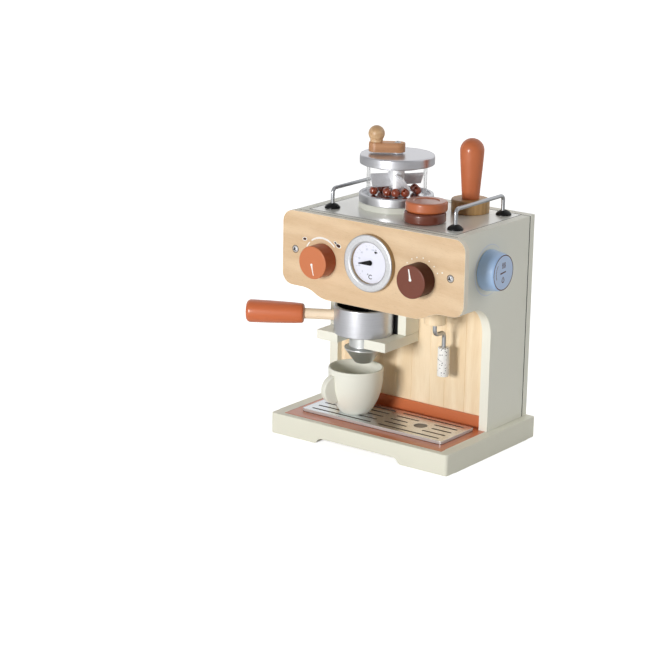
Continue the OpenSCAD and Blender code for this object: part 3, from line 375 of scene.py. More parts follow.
def plyEdge(name, dark, light, layer, start):
    # the cut edge of plywood, whose layers lie across Y
    finish = newFinish(name, {})
    across = finish.parts(finish.where((1, layer, 1), centre=(0, start, 0)), "Y")[0]
    wave = (across * math.tau).sine()
    fibre = finish.noise(patternSetup["plyFibre"], 3, 0.6)
    tone = wave * 0.3 + fibre * 0.5 + 0.25
    finish.feed("Base Color", finish.mix(tone.step(0.2, 0.8), ink(dark), ink(light)))
    finish.feed("Roughness", fibre * 0.1 + 0.5)
    finish.bump(fibre + wave * 0.2, 0.00005)


def buildPaints():
    paint("cream_paint", (239, 238, 225), 0.42, 0.015)
    paint("base_paint", (232, 230, 214), 0.42, 0.015)
    paint("top_paint", (240, 240, 231), 0.3, 0.015, coat=1.0, gloss=0.4, coatRough=0.18)
    paint("collar_paint", (212, 213, 203), 0.4, 0.015, coat=0.3)
    paint("terracotta_paint", (200, 112, 70), 0.38, 0.04, coat=0.2)
    paint("deck_paint", (200, 112, 70), 0.3, 0.03, coat=0.45)
    paint("pod_orange_paint", (189, 103, 60), 0.3, 0.03, coat=0.6, coatRough=0.2)
    paint("pod_brown_paint", (110, 56, 40), 0.3, 0.04, coat=0.5, coatRough=0.2)
    paint("orange_paint", (201, 119, 78), 0.36, 0.04, coat=0.1)
    paint("grip_paint", (206, 108, 62), 0.32, 0.04, coat=0.4, gloss=0.4, coatRough=0.2)
    # darker copies of the knobs' paints for their side faces: painted shade
    paint("orange_side", (166, 72, 30), 0.36, 0.04, coat=0.1)
    paint("brown_paint", (114, 62, 47), 0.36, 0.05, coat=0.1)
    paint("brown_side", (80, 34, 16), 0.42, 0.05, gloss=0.14)
    paint("blue_paint", (198, 218, 248), 0.34, 0.03, coat=0.2)
    # a more saturated, glossier copy of the blue for the steam knob's sides: painted highlight
    paint("blue_side", (180, 212, 252), 0.3, 0.03, coat=0.5)
    # a lighter paint for the control panel's eased rim: painted highlight
    paint("fascia_rim_highlight", (250, 237, 216), 0.45, 0.02)
    paint("seam_shade", (84, 82, 76), 0.6, 0.05)
    paint("screw_shade", (112, 96, 78), 0.6, 0.05)
    paint("white_paint", (247, 245, 240), 0.4, 0.01)
    paint("black_paint", (30, 30, 32), 0.45, 0.08)
    paint("cup_paint", (44, 40, 38), 0.5, 0.1)
    paint("mug_paint", (236, 236, 224), 0.36, 0.015, coat=0.1)
    paint("bean_stain", (140, 54, 18), 0.3, 0.18, (0.004, 0.0006, 0.0006), coat=0.7, gloss=0.5)
    speckled("tip_paint", (246, 245, 242), (58, 60, 64), 0.0031)


def buildPrints():
    paint("slot_print", (70, 60, 52), 0.5, 0.05)
    paint("mark_print", (136, 128, 120), 0.45, 0.05)
    paint("grey_print", (172, 178, 190), 0.5, 0.05)
    paint("bean_print", (70, 38, 30), 0.5, 0.05)
    paint("blue_print", (226, 229, 232), 0.45, 0.03)
    paint("ring_print", (88, 46, 54), 0.5, 0.05)


def buildPlastics():
    paint("dial_plastic", (229, 230, 243), 0.32, 0.006)
    paint("black_plastic", (16, 16, 18), 0.4, 0.06, coat=0.08, gloss=0.15)
    clearPlastic("clear_plastic", (246, 248, 250), (150, 155, 160))


def buildMetals():
    silver("silver_paint", (202, 203, 207), 0.34)
    silver("cup_silver", (197, 198, 203), 0.34, 1.0, (0.03, 0.03, 0.0008), 0.00004, 0.16)
    silver("lid_silver", (197, 197, 202), 0.3, 1.0, (0.05, 0.05, 0.0009), 0.00004, 0.14)
    silver("ring_silver", (204, 205, 208), 0.42, 0.7, (0.0022, 0.0022, 0.0022), 0.0001, 0.3)
    # a brownish copy of the gauge ring's silver for its walls: painted shade and a painted reflection of
    # the wood
    silver("ring_side", (162, 142, 112), 0.36, 0.8)
    silver("spout_silver", (208, 210, 209), 0.36, 0.87)
    silver("rotor_silver", (232, 233, 236), 0.4, 0.3, (0.0014, 0.0014, 0.0014), 0.0002, 0.2)
    # a lighter, glossier copy of the silver for the hopper's tray, which lies under the lid: painted
    # light
    silver("tray_silver_painted_light", (228, 229, 233), 0.16, 0.9, (0.002, 0.002, 0.002), 0.00003)
    silver("steel", (176, 178, 182), 0.3, 1.0, (0.0012, 0.0012, 0.0012))
    silver("screw_steel", (210, 210, 212), 0.32, 0.5)
    silver("grille_paint", (214, 218, 222), 0.19, 0.9)
    silver("grille_edge", (208, 206, 204), 0.35, 0.6)


def buildWoods():
    plyEdge("ply_edge", (234, 224, 204), (249, 243, 228), 0.0022, -0.0763)
    wood("plywood", (205, 171, 131), (231, 205, 170), 0.22, (0, 4, 0), (0, 0.02, 0.16),
         ring=0.019, rough=0.46, contrast=0.8, pores=0.25)
    wood("pale_wood", (230, 203, 163), (250, 232, 202), 0.2, (0, 90, 0), (0.02, 0.1, 0),
         ring=0.011, contrast=0.9)
    wood("stem_wood", (238, 212, 180), (252, 234, 208), 0.1, (0, 0, 30), (0, 0, 0.1),
         ring=0.004, rough=0.46, contrast=0.8, pores=0.3)
    wood("beech", (164, 110, 74), (208, 156, 112), 0.12, (0, 0, 34), (-0.05, 0.03, 0.33),
         ring=0.005, rough=0.4, contrast=0.7, pores=0.5)
    # a lighter copy of the beech for the crank arm's top: painted light
    wood("arm_top_painted_light", (200, 138, 92), (240, 186, 130), 0.12, (0, 0, 34), (-0.05, 0.03, 0.33),
         ring=0.005, contrast=0.7, pores=0.3)
    wood("ball_wood", (186, 142, 98), (224, 190, 148), 0.1, (0, 0, 34), (-0.05, 0.03, 0.34),
         ring=0.005, rough=0.4, contrast=0.7, pores=0.4)
    wood("tamper_wood", (166, 124, 74), (214, 174, 118), 0.1, (0, 90, 0), (0.05, 0.16, 0),
         ring=0.005, rough=0.42, contrast=0.7, pores=0.4)


buildPaints()
buildPrints()
buildPlastics()
buildMetals()
buildWoods()
print("finishes ready")

# Building pieces

# millimetres and degrees
meshSetup = {
    "merge": 0.001,  # how close doubles lie
    "fineMerge": 0.0001,
    "flat": 0.5,  # edges flatter than this go from a copy of a CAD mesh
    "level": 0.01,  # how close to a board's end its corners lie
    "facing": 0.9,  # faces whose normals point this far along an axis face that way
    "dotSides": 24,
    "dotTaper": 0.94,
}


def addPiece(name, shape, body, slotName, stands=(), place=None, finish=None, second=None, smooth=35,
             weighted=True):
    # makes an object of a bmesh, riding on its body; second numbers a face's finish
    for face in shape.faces:
        face.material_index = int(second(face)) if second else 0
    if place:
        bmesh.ops.transform(shape, matrix=place, verts=shape.verts)
    mesh = newMesh(name, shape)
    for entry in (finish if isinstance(finish, list) else [finish or slotName]):
        mesh.materials.append(finishes[entry])
    mesh.shade_smooth()
    mesh.set_sharp_from_angle(angle=math.radians(smooth))
    piece = newObject(name, mesh)
    if weighted:
        piece.modifiers.new("normals", "WEIGHTED_NORMAL").keep_sharp = True
    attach(piece, body)
    if stands:
        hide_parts(*stands)


def mergedCopy(node):
    # a CAD mesh is loose triangles
    shape = bmesh.new()
    shape.from_mesh(frame["nodes"][node].data)
    bmesh.ops.remove_doubles(shape, verts=shape.verts, dist=meshSetup["merge"] * mm)
    bmesh.ops.dissolve_limit(shape, angle_limit=math.radians(meshSetup["flat"]),
                             use_dissolve_boundaries=False, verts=shape.verts, edges=shape.edges)
    return shape


def trimmed(shape, trims):
    # draws a board's side in by some millimetres, so that a seam shows beside it
    for axis, side, amount in trims:
        reach = [vert.co[axis] for vert in shape.verts]
        end = max(reach) if side > 0 else min(reach)
        for vert in shape.verts:
            if abs(vert.co[axis] - end) < meshSetup["level"] * mm:
                vert.co[axis] -= side * amount * mm


def sharpEdges(shape, sharper=50, keep=None):
    found = [edge for edge in shape.edges
             if edge.is_manifold and edge.calc_face_angle(0.0) > math.radians(sharper)]
    return [edge for edge in found if not (keep and keep(edge))]


def rounded(shape, geom, ease, segments, kind="EDGES"):
    # bevels edges or corners by ease millimetres
    bmesh.ops.bevel(shape, geom=geom, offset=ease * mm, offset_type="OFFSET", segments=segments,
                    profile=0.5, affect=kind, clamp_overlap=kind == "EDGES", material=-1)


def easedCopy(node, slotName, ease, keep=None, finish=None, second=None, segments=3, trims=()):
    # a CAD board with its sharp edges eased; keep says which edges stay sharp
    shape = mergedCopy(node)
    trimmed(shape, trims)
    edges = sharpEdges(shape, keep=keep)
    if ease and edges:
        rounded(shape, edges, ease, segments)
    body = frame["nodes"][node]["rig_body"]
    addPiece(node + ".eased", shape, body, slotName, [node], finish=finish, second=second)


def turnedShape(outline, closed=False, steps=96):
    # outline points are (radius, height) or (radius, height, easing of that corner), millimetres
    shape = bmesh.new()
    points = [shape.verts.new((point[0] * mm, 0, point[1] * mm)) for point in outline]
    for first, second in zip(points, points[1:] + points[:1] if closed else points[1:]):
        shape.edges.new((first, second))
    for vert, point in zip(points, outline):
        if len(point) > 2:
            rounded(shape, [vert], point[2], 6 if point[2] > 3 else 4, "VERTICES")
    bmesh.ops.spin(shape, geom=shape.verts[:] + shape.edges[:], axis=(0, 0, 1), cent=(0, 0, 0),
                   angle=math.tau, steps=steps, use_merge=True, use_duplicate=False)
    bmesh.ops.remove_doubles(shape, verts=shape.verts, dist=meshSetup["merge"] * mm)
    bmesh.ops.recalc_face_normals(shape, faces=shape.faces)
    return shape


def addTurned(node, slotName, place, outline, closed=False, finish=None, second=None, smooth=35):
    # a turned piece that stands for the CAD's
    addPiece(node + ".turned", turnedShape(outline, closed), frame["nodes"][node]["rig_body"], slotName,
             [node], place, finish, second, smooth)


def sides(limit):
    # finds the faces whose normals point up or down by less than limit
    return lambda face: abs(face.normal.z) < limit


def around(radius, angle, centre=(0, 0)):
    # the point at an angle, in degrees, on a circle
    turn = math.radians(angle)
    return centre[0] + radius * math.cos(turn), centre[1] + radius * math.sin(turn)


def roundEnd(radius, height, start=0, end=90, step=6):
    # outline points round a ball's middle, up to just before its pole
    return [around(radius, angle, (0, height)) for angle in range(start, end, step)]


def upAt(x, y, z):
    return Matrix.Translation((x * mm, y * mm, z * mm))


def frontAt(x, y, z):
    # heights run to the front; drawn right and up stay right and up
    return upAt(x, y, z) @ turnedBy(90, "X")


def rightAt(x, y, z):
    # heights run to the right; drawn right runs to the back, drawn up stays up
    return upAt(x, y, z) @ Matrix(((0, 0, 1, 0), (1, 0, 0, 0), (0, 1, 0, 0), (0, 0, 0, 1)))


def arcLine(radius, start, end, width, centre=(0, 0), tips=1.0, steps=24):
    # points (right, up, half width) along an arc, thinner at its ends by tips
    line = []
    for step in range(steps + 1):
        share = step / steps
        swell = tips + (1 - tips) * math.sin(math.pi * share)
        line.append((*around(radius, start + (end - start) * share, centre), width / 2 * swell))
    return line


def lineShape(lines, thick):
    # lines of (right, up, half width), drawn as round curves and pressed flat
    curve = bpy.data.curves.new("lines", "CURVE")
    curve.dimensions = "3D"
    curve.bevel_depth = mm
    curve.bevel_resolution = 2
    curve.use_fill_caps = True
    for line in lines:
        spline = curve.splines.new("POLY")
        spline.points.add(len(line) - 1)
        for point, (right, up, half) in zip(spline.points, line):
            point.co = (right * mm, up * mm, 0, 1)
            point.radius = half
    shape = drawnShape("lines", curve)
    bmesh.ops.recalc_face_normals(shape, faces=shape.faces)
    bmesh.ops.scale(shape, vec=(1, 1, thick / 2), verts=shape.verts)
    return shape


def drawnShape(name, curve, shift=(0, 0, 0)):
    # the mesh of a curve or of lettering
    drawn = bpy.data.objects.new(name, curve)
    shape = bmesh.new()
    shape.from_mesh(drawn.to_mesh())
    drawn.to_mesh_clear()
    bpy.data.objects.remove(drawn)
    bmesh.ops.translate(shape, vec=Vector(shift) * mm, verts=shape.verts)
    bmesh.ops.remove_doubles(shape, verts=shape.verts, dist=meshSetup["fineMerge"] * mm)
    return shape


def addPrint(name, body, slotName, place, lines=(), dots=(), finish=None, thick=0.06):
    # thin printed marks: lines of (right, up, half width), dots of (right, up, radius, stretch, angle)
    shape = lineShape(lines, thick) if lines else bmesh.new()
    for right, up, radius, stretch, angle in dots:
        dot = upAt(right, up, thick / 2) @ turnedBy(angle) @ Matrix.Diagonal((stretch, 1, 1, 1))
        bmesh.ops.create_cone(shape, cap_ends=True, segments=meshSetup["dotSides"], radius1=radius * mm,
                              radius2=radius * meshSetup["dotTaper"] * mm, depth=thick * mm, matrix=dot)
    addPiece(name, shape, body, slotName, place=place, finish=finish, weighted=False)


# Base

baseSetup = {"ease": 1.1, "deckEase": 0.5, "seamY": 80, "seamNear": 0.05}


def onRailSeam(edge):
    # the base's boards are filled and painted over where they meet
    return all(abs(abs(vert.co.y) - baseSetup["seamY"] * mm) < baseSetup["seamNear"] * mm
               for vert in edge.verts)


def buildBase(setup):
    for side in ("front", "rear", "left", "right"):
        easedCopy(f"base_{side}_rail", "cream_paint", setup["ease"], onRailSeam, "base_paint")
    easedCopy("base_deck", "terracotta_paint", setup["deckEase"], finish="deck_paint")
    easedCopy("base_centre_rail", "pale_wood", setup["deckEase"])
    easedCopy("skirting", "terracotta_paint", setup["deckEase"])


# Cabinet

cabinetSetup = {
    "ease": 0.8,
    "panelEase": 1.6,
    "topEase": 0.3,
    "coverSeam": 1.5,
    "topSeam": 1.3,  # beside the top panel
    "frontSeam": 1.3,  # in front of it
    "fasciaSeam": 1.6,  # behind the control panel
    "fasciaTrim": 0.6,  # how far that panel's back is drawn in
    "seamReach": 8,  # how far its seam runs past the top panel
    "seamSunk": 0.02,
}

wallSetup = {
    "seams": (-99.8, -72.0, -47.0, -23.5, 0.4, 27.7, 48.9, 78.3),  # joints of the wall's boards
    "ease": 0.35,
    "depth": 0.6,
    "frontBelow": 17,  # what lies before this is the wall's front
}


def buildCabinet(setup):
    for node in ("side_panel_left", "side_panel_right"):
        easedCopy(node, "cream_paint", setup["panelEase"])
    for node in ("head_floor", "head_front"):
        easedCopy(node, "cream_paint", setup["ease"])
    easedCopy("rear_cover", "cream_paint", setup["ease"], trims=[(1, -1, setup["coverSeam"])],
              finish=["cream_paint", "seam_shade"],
              second=lambda face: face.normal.y < -meshSetup["facing"])
    easedCopy("top_panel", "top_paint", setup["topEase"], trims=[
        (0, -1, setup["topSeam"]), (0, 1, setup["topSeam"]), (1, -1, setup["frontSeam"])])


def buildTopSeams(setup):
    low, high = [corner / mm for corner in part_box("top_panel")]
    half, front, back = [setup[seam] / 2 for seam in ("topSeam", "frontSeam", "fasciaSeam")]
    reach = setup["seamReach"]
    frontY = low.y + front
    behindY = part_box("fascia")[1].y / mm + setup["fasciaTrim"]
    addPrint("top_seams", "machine", "black_paint", upAt(0, 0, high.z - setup["seamSunk"]), [
        [(low.x + half, low.y, half), (low.x + half, high.y, half)],
        [(high.x - half, low.y, half), (high.x - half, high.y, half)],
        [(low.x, frontY, front), (high.x, frontY, front)],
        [(low.x - reach, behindY, back), (high.x + reach, behindY, back)]], finish="seam_shade")


def buildWall(setup):
    shape = mergedCopy("wall_panel")
    for seam in setup["seams"]:
        cut = bmesh.ops.bisect_plane(shape, geom=shape.verts[:] + shape.edges[:] + shape.faces[:],
                                     plane_co=(seam * mm, 0, 0), plane_no=(1, 0, 0))["geom_cut"]
        rounded(shape, [part for part in cut if isinstance(part, bmesh.types.BMEdge)], setup["ease"], 2)
        for vert in shape.verts:
            onSeam = abs(vert.co.x - seam * mm) < meshSetup["level"] * mm
            if onSeam and vert.co.y < setup["frontBelow"] * mm:
                vert.co.y += setup["depth"] * mm
    addPiece("wall_panel.boards", shape, "machine", "pale_wood", ["wall_panel"], smooth=20)


# Control panel

panelSetup = {
    "ease": 1.3, "frontY": -76.3, "knobX": 71.0, "knobZ": 224.5,
    "edgeBelow": 0.3, "faceFrom": 0.97,  # how far normals point to the front
    "screwZ": 231.3, "screwIn": 4, "screwRing": arcLine(4.4, 0, 360, 1.0, steps=36),
    "arcs": [arcLine(26.2, 152, 134, 1.6, (-1.2, 0), 0.6, 6),
             arcLine(25.5, 127, 42, 2.4, (-1.8, 0.7), 0.7)],
    "beans": [(-27.4, 21.4, 1.65, 10), (18.4, 23.4, 1.1, -30), (22.8, 20.4, 2.05, -15)],
    "beanStretch": 1.6,
    # name, slot, finish, how much larger, thickness
    "beanPrints": [("bean_halos", "white_paint", "white_paint", 0.6, 0.04),
                   ("bean_marks", "bean_stain", "bean_print", 0, 0.08)],
    "dots": (141, 121, 104, 84, 64, 44, 24),  # degrees round the temperature knob
    "dotRing": 25.3, "dot": 0.8, "lastDot": (29.6, 11.9, 1.0, 1, 0),
}


def fasciaPart(face):
    # 0 for the panel's faces, 1 for its cut edges and 2 for the rim between them, which gets a lighter
    # paint as a painted highlight
    facing = abs(face.normal.y)
    return 1 if facing < panelSetup["edgeBelow"] else 2 * (facing < panelSetup["faceFrom"])


def buildPanel(setup):
    easedCopy("fascia", "plywood", setup["ease"], trims=[(1, 1, cabinetSetup["fasciaTrim"])],
              finish=["plywood", "ply_edge", "fascia_rim_highlight"], second=fasciaPart)
    left, right = [frontAt(side * setup["knobX"], setup["frontY"], setup["knobZ"]) for side in (-1, 1)]
    addPrint("strength_arc", "machine", "white_paint", left, setup["arcs"])
    for name, slotName, finish, more, thick in setup["beanPrints"]:
        addPrint(name, "machine", slotName, left, finish=finish, thick=thick, dots=[
            (x, z, size + more, setup["beanStretch"], turn) for x, z, size, turn in setup["beans"]])
    ring = [(*around(setup["dotRing"], angle), setup["dot"], 1, 0) for angle in setup["dots"]]
    addPrint("temperature_dots", "machine", "white_paint", right, dots=ring + [setup["lastDot"]])
    low, high = [corner.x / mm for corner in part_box("fascia_screws")]
    for side, x in (("left", low + setup["screwIn"]), ("right", high - setup["screwIn"])):
        addPrint(f"screw_shade.{side}", "machine", "black_paint",
                 frontAt(x, setup["frontY"], setup["screwZ"]), [setup["screwRing"]], finish="screw_shade")


buildBase(baseSetup)
buildCabinet(cabinetSetup)
buildTopSeams(cabinetSetup)
buildWall(wallSetup)
buildPanel(panelSetup)
print("cabinet ready")

# Knobs

# a mark is a line of (right, up, half width) that starts at a dot
knobSetup = {
    "radius": 20.0, "length": 21.2, "gap": 0.3, "rearEase": 0.5, "ease": 1.4, "side": 0.5,
    "dotShare": 1.15,
    "strength": [(-1.0, -2.7, 1.4), (-0.6, -4.4, 1.1), (0.6, -9.5, 0.65), (2.2, -15.4, 0.5)],
    "temperature": [(-0.5, 2.5, 1.6), (-0.8, 4.4, 1.25), (-1.8, 9.5, 0.8), (-3.0, 15.1, 0.7)],
}

steamKnobSetup = {
    "place": (118.25, -6.2, 229.7), "length": 21.7, "side": 0.8,
    "outline": [(0, 0.3), (24.4, 0.3, 0.3), (25.0, 3.0, 2.0), (22.2, 20.2, 2.5), (20.2, 21.7, 0.8),
                (0, 21.7)],
    "steam": [(-2.6, 5.2, 0.6), (-1.6, 7.4, 0.75), (-2.8, 9.8, 0.75), (-1.9, 12.2, 0.6)],
    "steamShifts": (0.0, 2.6, 5.2),
    "bar": [(-6.6, -0.6, 0.9), (5.3, 0.6, 0.8)],
    "drop": ([(-0.4, -4.8, 0.3), (1.4, -8.0, 0.55)] + arcLine(2.3, 30, -210, 1.2, (-0.5, -9.4), steps=12)
             + [(-2.4, -8.0, 0.55), (-0.6, -4.8, 0.3)]),
    "rings": [arcLine(20.7, 0, 360, 1.2, steps=72), arcLine(15.6, 140, 205, 0.8, steps=12)],
    "panelArc": arcLine(30.5, 48, 300, 2.2, (3.0, -0.8), 0.3, 48),
}


def buildKnobs(setup):
    frontY, z, length = panelSetup["frontY"], panelSetup["knobZ"], setup["length"]
    for name, side, colour in (("strength", -1, "orange"), ("temperature", 1, "brown")):
        x = side * panelSetup["knobX"]
        # the knob's side faces take the darker copy of its paint: painted shade
        addTurned(f"{name}_knob", f"{colour}_paint", frontAt(x, frontY, z), [
            (0, setup["gap"]), (setup["radius"], setup["gap"], setup["rearEase"]),
            (setup["radius"], length, setup["ease"]), (0, length)],
            finish=[f"{colour}_paint", f"{colour}_side"], second=sides(setup["side"]))
        right, up, half = setup[name][0]
        addPrint(f"{name}_mark", f"{name}_dial", "white_paint", frontAt(x, frontY - length, z),
                 [setup[name]], [(right, up, half * setup["dotShare"], 1, 0)])


def buildSteamKnob(setup):
    place = rightAt(*setup["place"])
    # the sides take the glossier copy of the blue: painted highlight
    addTurned("steam_knob", "blue_paint", place, setup["outline"], finish=["blue_paint", "blue_side"],
              second=sides(setup["side"]))
    steam = [[(right + shift, up, half) for right, up, half in setup["steam"]]
             for shift in setup["steamShifts"]]
    addPrint("steam_signs", "steam_dial", "brown_paint", place @ upAt(0, 0, setup["length"]),
             steam + [setup["bar"], setup["drop"]] + setup["rings"], finish="ring_print")
    addPrint("steam_arc", "machine", "blue_paint", place, [setup["panelArc"]], finish="blue_print")


buildKnobs(knobSetup)
buildSteamKnob(steamKnobSetup)
print("knobs ready")

# Gauge

gaugeSetup = {
    "z": 232.3, "dialHeight": 2.0, "needleEase": 0.25, "ringSide": 0.3,
    "ring": [(24.9, 0), (34.7, 0), (34.7, 6.8, 0.9), (33.2, 7.7, 0.6), (26.8, 7.7, 0.6),
             (24.9, 6.2, 0.6)],
    "dial": [(0, 0), (24.85, 0), (24.85, 2.0, 0.2), (0, 2.0)],
    "ticks": 13, "firstAngle": 228, "tickTurn": 15, "tickRadius": 21.5, "tick": 1.3, "longTick": 2.4,
    "tickHalf": 0.16,
    "numbers": 6, "numberTurn": 30, "numberStep": 20, "numberRadius": 16.3, "numberSize": 3.2,
    "unit": ("C", 7.6, 0.5, -17.2, 0.12),  # letter, size, right, up, bold
    "degree": arcLine(0.7, 0, 360, 0.4, (-3.2, -14.4), steps=12),
    "cup": [
        arcLine(1.1, 180, 360, 1.7, (7.6, 14.0), steps=10),
        [(5.9, 14.3, 0.5), (9.3, 14.3, 0.5)],
        arcLine(0.8, -80, 80, 0.4, (9.5, 13.5), steps=8),
        [(7.0, 15.7, 0.2), (7.3, 16.5, 0.25), (6.9, 17.3, 0.15)],
        [(8.3, 15.7, 0.2), (8.6, 16.5, 0.25), (8.2, 17.3, 0.15)],
    ],
}


def textShape(words, size, right, up, bold=0.0, thick=0.06):
    # flat lettering, for numbers and units on a dial
    font = bpy.data.curves.new(words, "FONT")
    font.body = words
    font.size = size * mm
    font.align_x = "CENTER"
    font.align_y = "CENTER"
    font.extrude = thick / 2 * mm
    font.offset = bold * mm
    return drawnShape(words, font, (right, up, thick / 2))


def buildDialPrints(setup, face):
    ticks = []
    for step in range(setup["ticks"]):
        angle = setup["firstAngle"] - step * setup["tickTurn"]
        ends = (setup["tickRadius"], setup["tickRadius"] - setup["tick" if step % 2 else "longTick"])
        ticks.append([(*around(end, angle), setup["tickHalf"]) for end in ends])
    dial = ("machine", "black_paint")
    addPrint("dial_ticks", *dial, face, ticks, finish="grey_print")
    for step in range(setup["numbers"]):
        angle = setup["firstAngle"] - step * setup["numberTurn"]
        number = textShape(str(step * setup["numberStep"]), setup["numberSize"],
                           *around(setup["numberRadius"], angle))
        addPiece(f"dial_number.{step}", number, *dial, place=face, finish="grey_print", weighted=False)
    addPiece("dial_unit", textShape(*setup["unit"]), *dial, place=face, weighted=False)
    addPrint("dial_signs", *dial, face, [setup["degree"]] + setup["cup"])


def buildGauge(setup):
    y, z = panelSetup["frontY"], setup["z"]
    # the ring's walls take the brownish copy of its silver: painted shade and a painted reflection of the
    # wood
    addTurned("gauge_ring", "silver_paint", frontAt(0, y, z), setup["ring"], True,
              ["ring_silver", "ring_side"], sides(setup["ringSide"]))
    addTurned("gauge_dial", "dial_plastic", frontAt(0, y, z), setup["dial"])
    buildDialPrints(setup, frontAt(0, y - setup["dialHeight"], z))
    easedCopy("gauge_needle", "black_plastic", setup["needleEase"], segments=2)


buildGauge(gaugeSetup)
print("gauge ready")

# Fork, cradle and portafilter

groupSetup = {
    "place": (-41.4, -29.7), "forkZ": 130.2, "forkEase": 0.7, "cheekTrim": 0.3, "cradleEase": 0.4,
    "cup": [(4.05, 0), (37.0, 0, 0.9), (37.0, 34.4, 1.7), (33.0, 34.4, 0.9), (33.0, 5.0, 1.0),
            (4.05, 5.0)],
    "inside": (33.1, 1.0),  # faces within this radius and above this height
    "spout": [(0, 92.4), (10.5, 92.4, 0.8), (23.5, 110.0, 0.7), (23.5, 111.5, 0.7), (17.5, 113.0, 0.8),
              (17.5, 130.2), (4, 130.2), (4, 135.5), (6.5, 135.5, 0.3), (6.5, 137.0, 0.5), (0, 137.0)],
}

# heights run outwards from the cup's middle
handleSetup = {
    "z": 150.0, "turn": 30,
    "stem": [(0, 36.0), (6.5, 36.0), (6.5, 85.5), (0, 85.5)],
    "grip": [(6.8, 76.5), (6.8, 73.8, 0.2), (11.9, 73.5, 2.6), (12.8, 83.5, 6), (14.1, 124.62, 10),
             (14.1, 144.5, 5.5), (0, 144.5)],
}


def buildFork(setup):
    easedCopy("fork_holder", "cream_paint", setup["forkEase"])
    for node in ("cheek_left", "cheek_right"):
        easedCopy(node, "cream_paint", setup["forkEase"], trims=[(2, -1, setup["cheekTrim"])])
    # partly painted shade: the black cradle also stands for the deep shade in the hollow behind the
    # portafilter
    easedCopy("cup_cradle", "black_paint", setup["cradleEase"])


def buildCup(setup):
    radius, height = setup["inside"]

    def inside(face):
        middle = face.calc_center_median()
        return math.hypot(*middle.xy) < radius * mm and middle.z > height * mm

    place = upAt(*setup["place"], setup["forkZ"])
    addTurned("portafilter_cup", "silver_paint", place, setup["cup"], True, ["cup_silver", "cup_paint"],
              inside)


def buildHandle(setup):
    along = upAt(*groupSetup["place"], setup["z"]) @ turnedBy(setup["turn"]) @ turnedBy(-90, "Y")
    addTurned("handle_stem", "pale_wood", along, setup["stem"], finish="stem_wood")
    addTurned("handle_grip", "orange_paint", along, setup["grip"], finish="grip_paint")


def buildSpout(setup):
    addTurned("spout", "steel", upAt(*setup["place"], 0), setup["spout"], finish="spout_silver")


buildFork(groupSetup)
buildCup(groupSetup)
buildHandle(handleSetup)
buildSpout(groupSetup)
print("portafilter ready")

# Steam wand

wandSetup = {
    "bossPlace": (60.8, -27.5, 158.5),
    "boss": [(2.65, 0), (13.5, 0, 1.0), (13.5, 26.5), (6.3, 26.5), (6.3, 21.9), (2.65, 21.9)],
    "tipPlace": (60.8, -7.0, 88.8),
    "tip": [(0, 0), (7.15, 0, 1.0), (7.15, 36.0, 0.8), (2.65, 36.0), (2.65, 33.0), (0, 33.0)],
}


def buildWand(setup):
    addTurned("steam_boss", "pale_wood", upAt(*setup["bossPlace"]), setup["boss"], True)
    addTurned("steam_tip", "white_paint", upAt(*setup["tipPlace"]), setup["tip"], finish="tip_paint")
    easedCopy("steam_pipe", "steel", 0)


buildWand(wandSetup)
print("steam wand ready")

# Grinder

grinderSetup = {
    "place": (-35.5, 23.9),
    "collarZ": 278.6, "collar": [(0, 0), (45.75, 0), (45.75, 7.0, 0.8), (0, 7.0)],
    "ringZ": 285.6, "ring": [(3.05, 0), (45.75, 0, 0.6), (45.75, 10.4, 1.4), (41.25, 10.4, 0.9),
                             (41.25, 7.0, 0.8), (3.05, 7.0)],
    "tray": (40.75, 6.9, 0.5),  # faces within this radius, above this height and this level
    "tubeZ": 292.6, "tube": [(34.3, 0), (36.8, 0), (36.8, 39.4), (34.3, 39.4)],
    "lidZ": 332.0, "lid": [(4.05, -3), (34.0, -3, 0.4), (34.0, 0), (45.75, 0, 1.0), (45.75, 11.8, 2.2),
                           (4.05, 11.8)],
}

crankSetup = {
    "rotorEase": 0.3, "armEase": 1.2, "shaft": 9.0,
    "hubTop": 345.8,  # the arm's steel hub lies below
    "turn": 34, "ballAway": 25.8, "ballZ": 357.5,
    "ball": [(0, 0), (7.75, 0, 0.5), (7.75, 3.6, 0.4)] + roundEnd(10, 10.3, -36, 90) + [(0, 20.3)],
}

# places are (distance, direction) from the hopper's middle
beanSetup = {
    "places": [(28, -138), (15.5, -102), (15.7, -59), (17.2, -17), (25, 41), (27.5, 72), (20, 108),
               (27, 140), (24, 176)],
    "size": 11.0, "bore": 1.3, "flat": 0.4, "boreEase": 0.3, "seed": 7, "tilt": (0.5, 1.2),
}


def buildHopper(setup):
    x, y = setup["place"]
    radius, height, level = setup["tray"]

    # the tray's floor takes the lighter silver: painted light under the lid
    def tray(face):
        middle = face.calc_center_median()
        return (face.normal.z > level and middle.z > height * mm
                and math.hypot(*middle.xy) < radius * mm)

    addTurned("grinder_collar", "cream_paint", upAt(x, y, setup["collarZ"]), setup["collar"],
              finish="collar_paint")
    addTurned("hopper_base", "silver_paint", upAt(x, y, setup["ringZ"]), setup["ring"], True,
              ["silver_paint", "tray_silver_painted_light"], tray)
    addTurned("hopper_tube", "clear_plastic", upAt(x, y, setup["tubeZ"]), setup["tube"], True)
    addTurned("hopper_lid", "silver_paint", upAt(x, y, setup["lidZ"]), setup["lid"], True, "lid_silver")


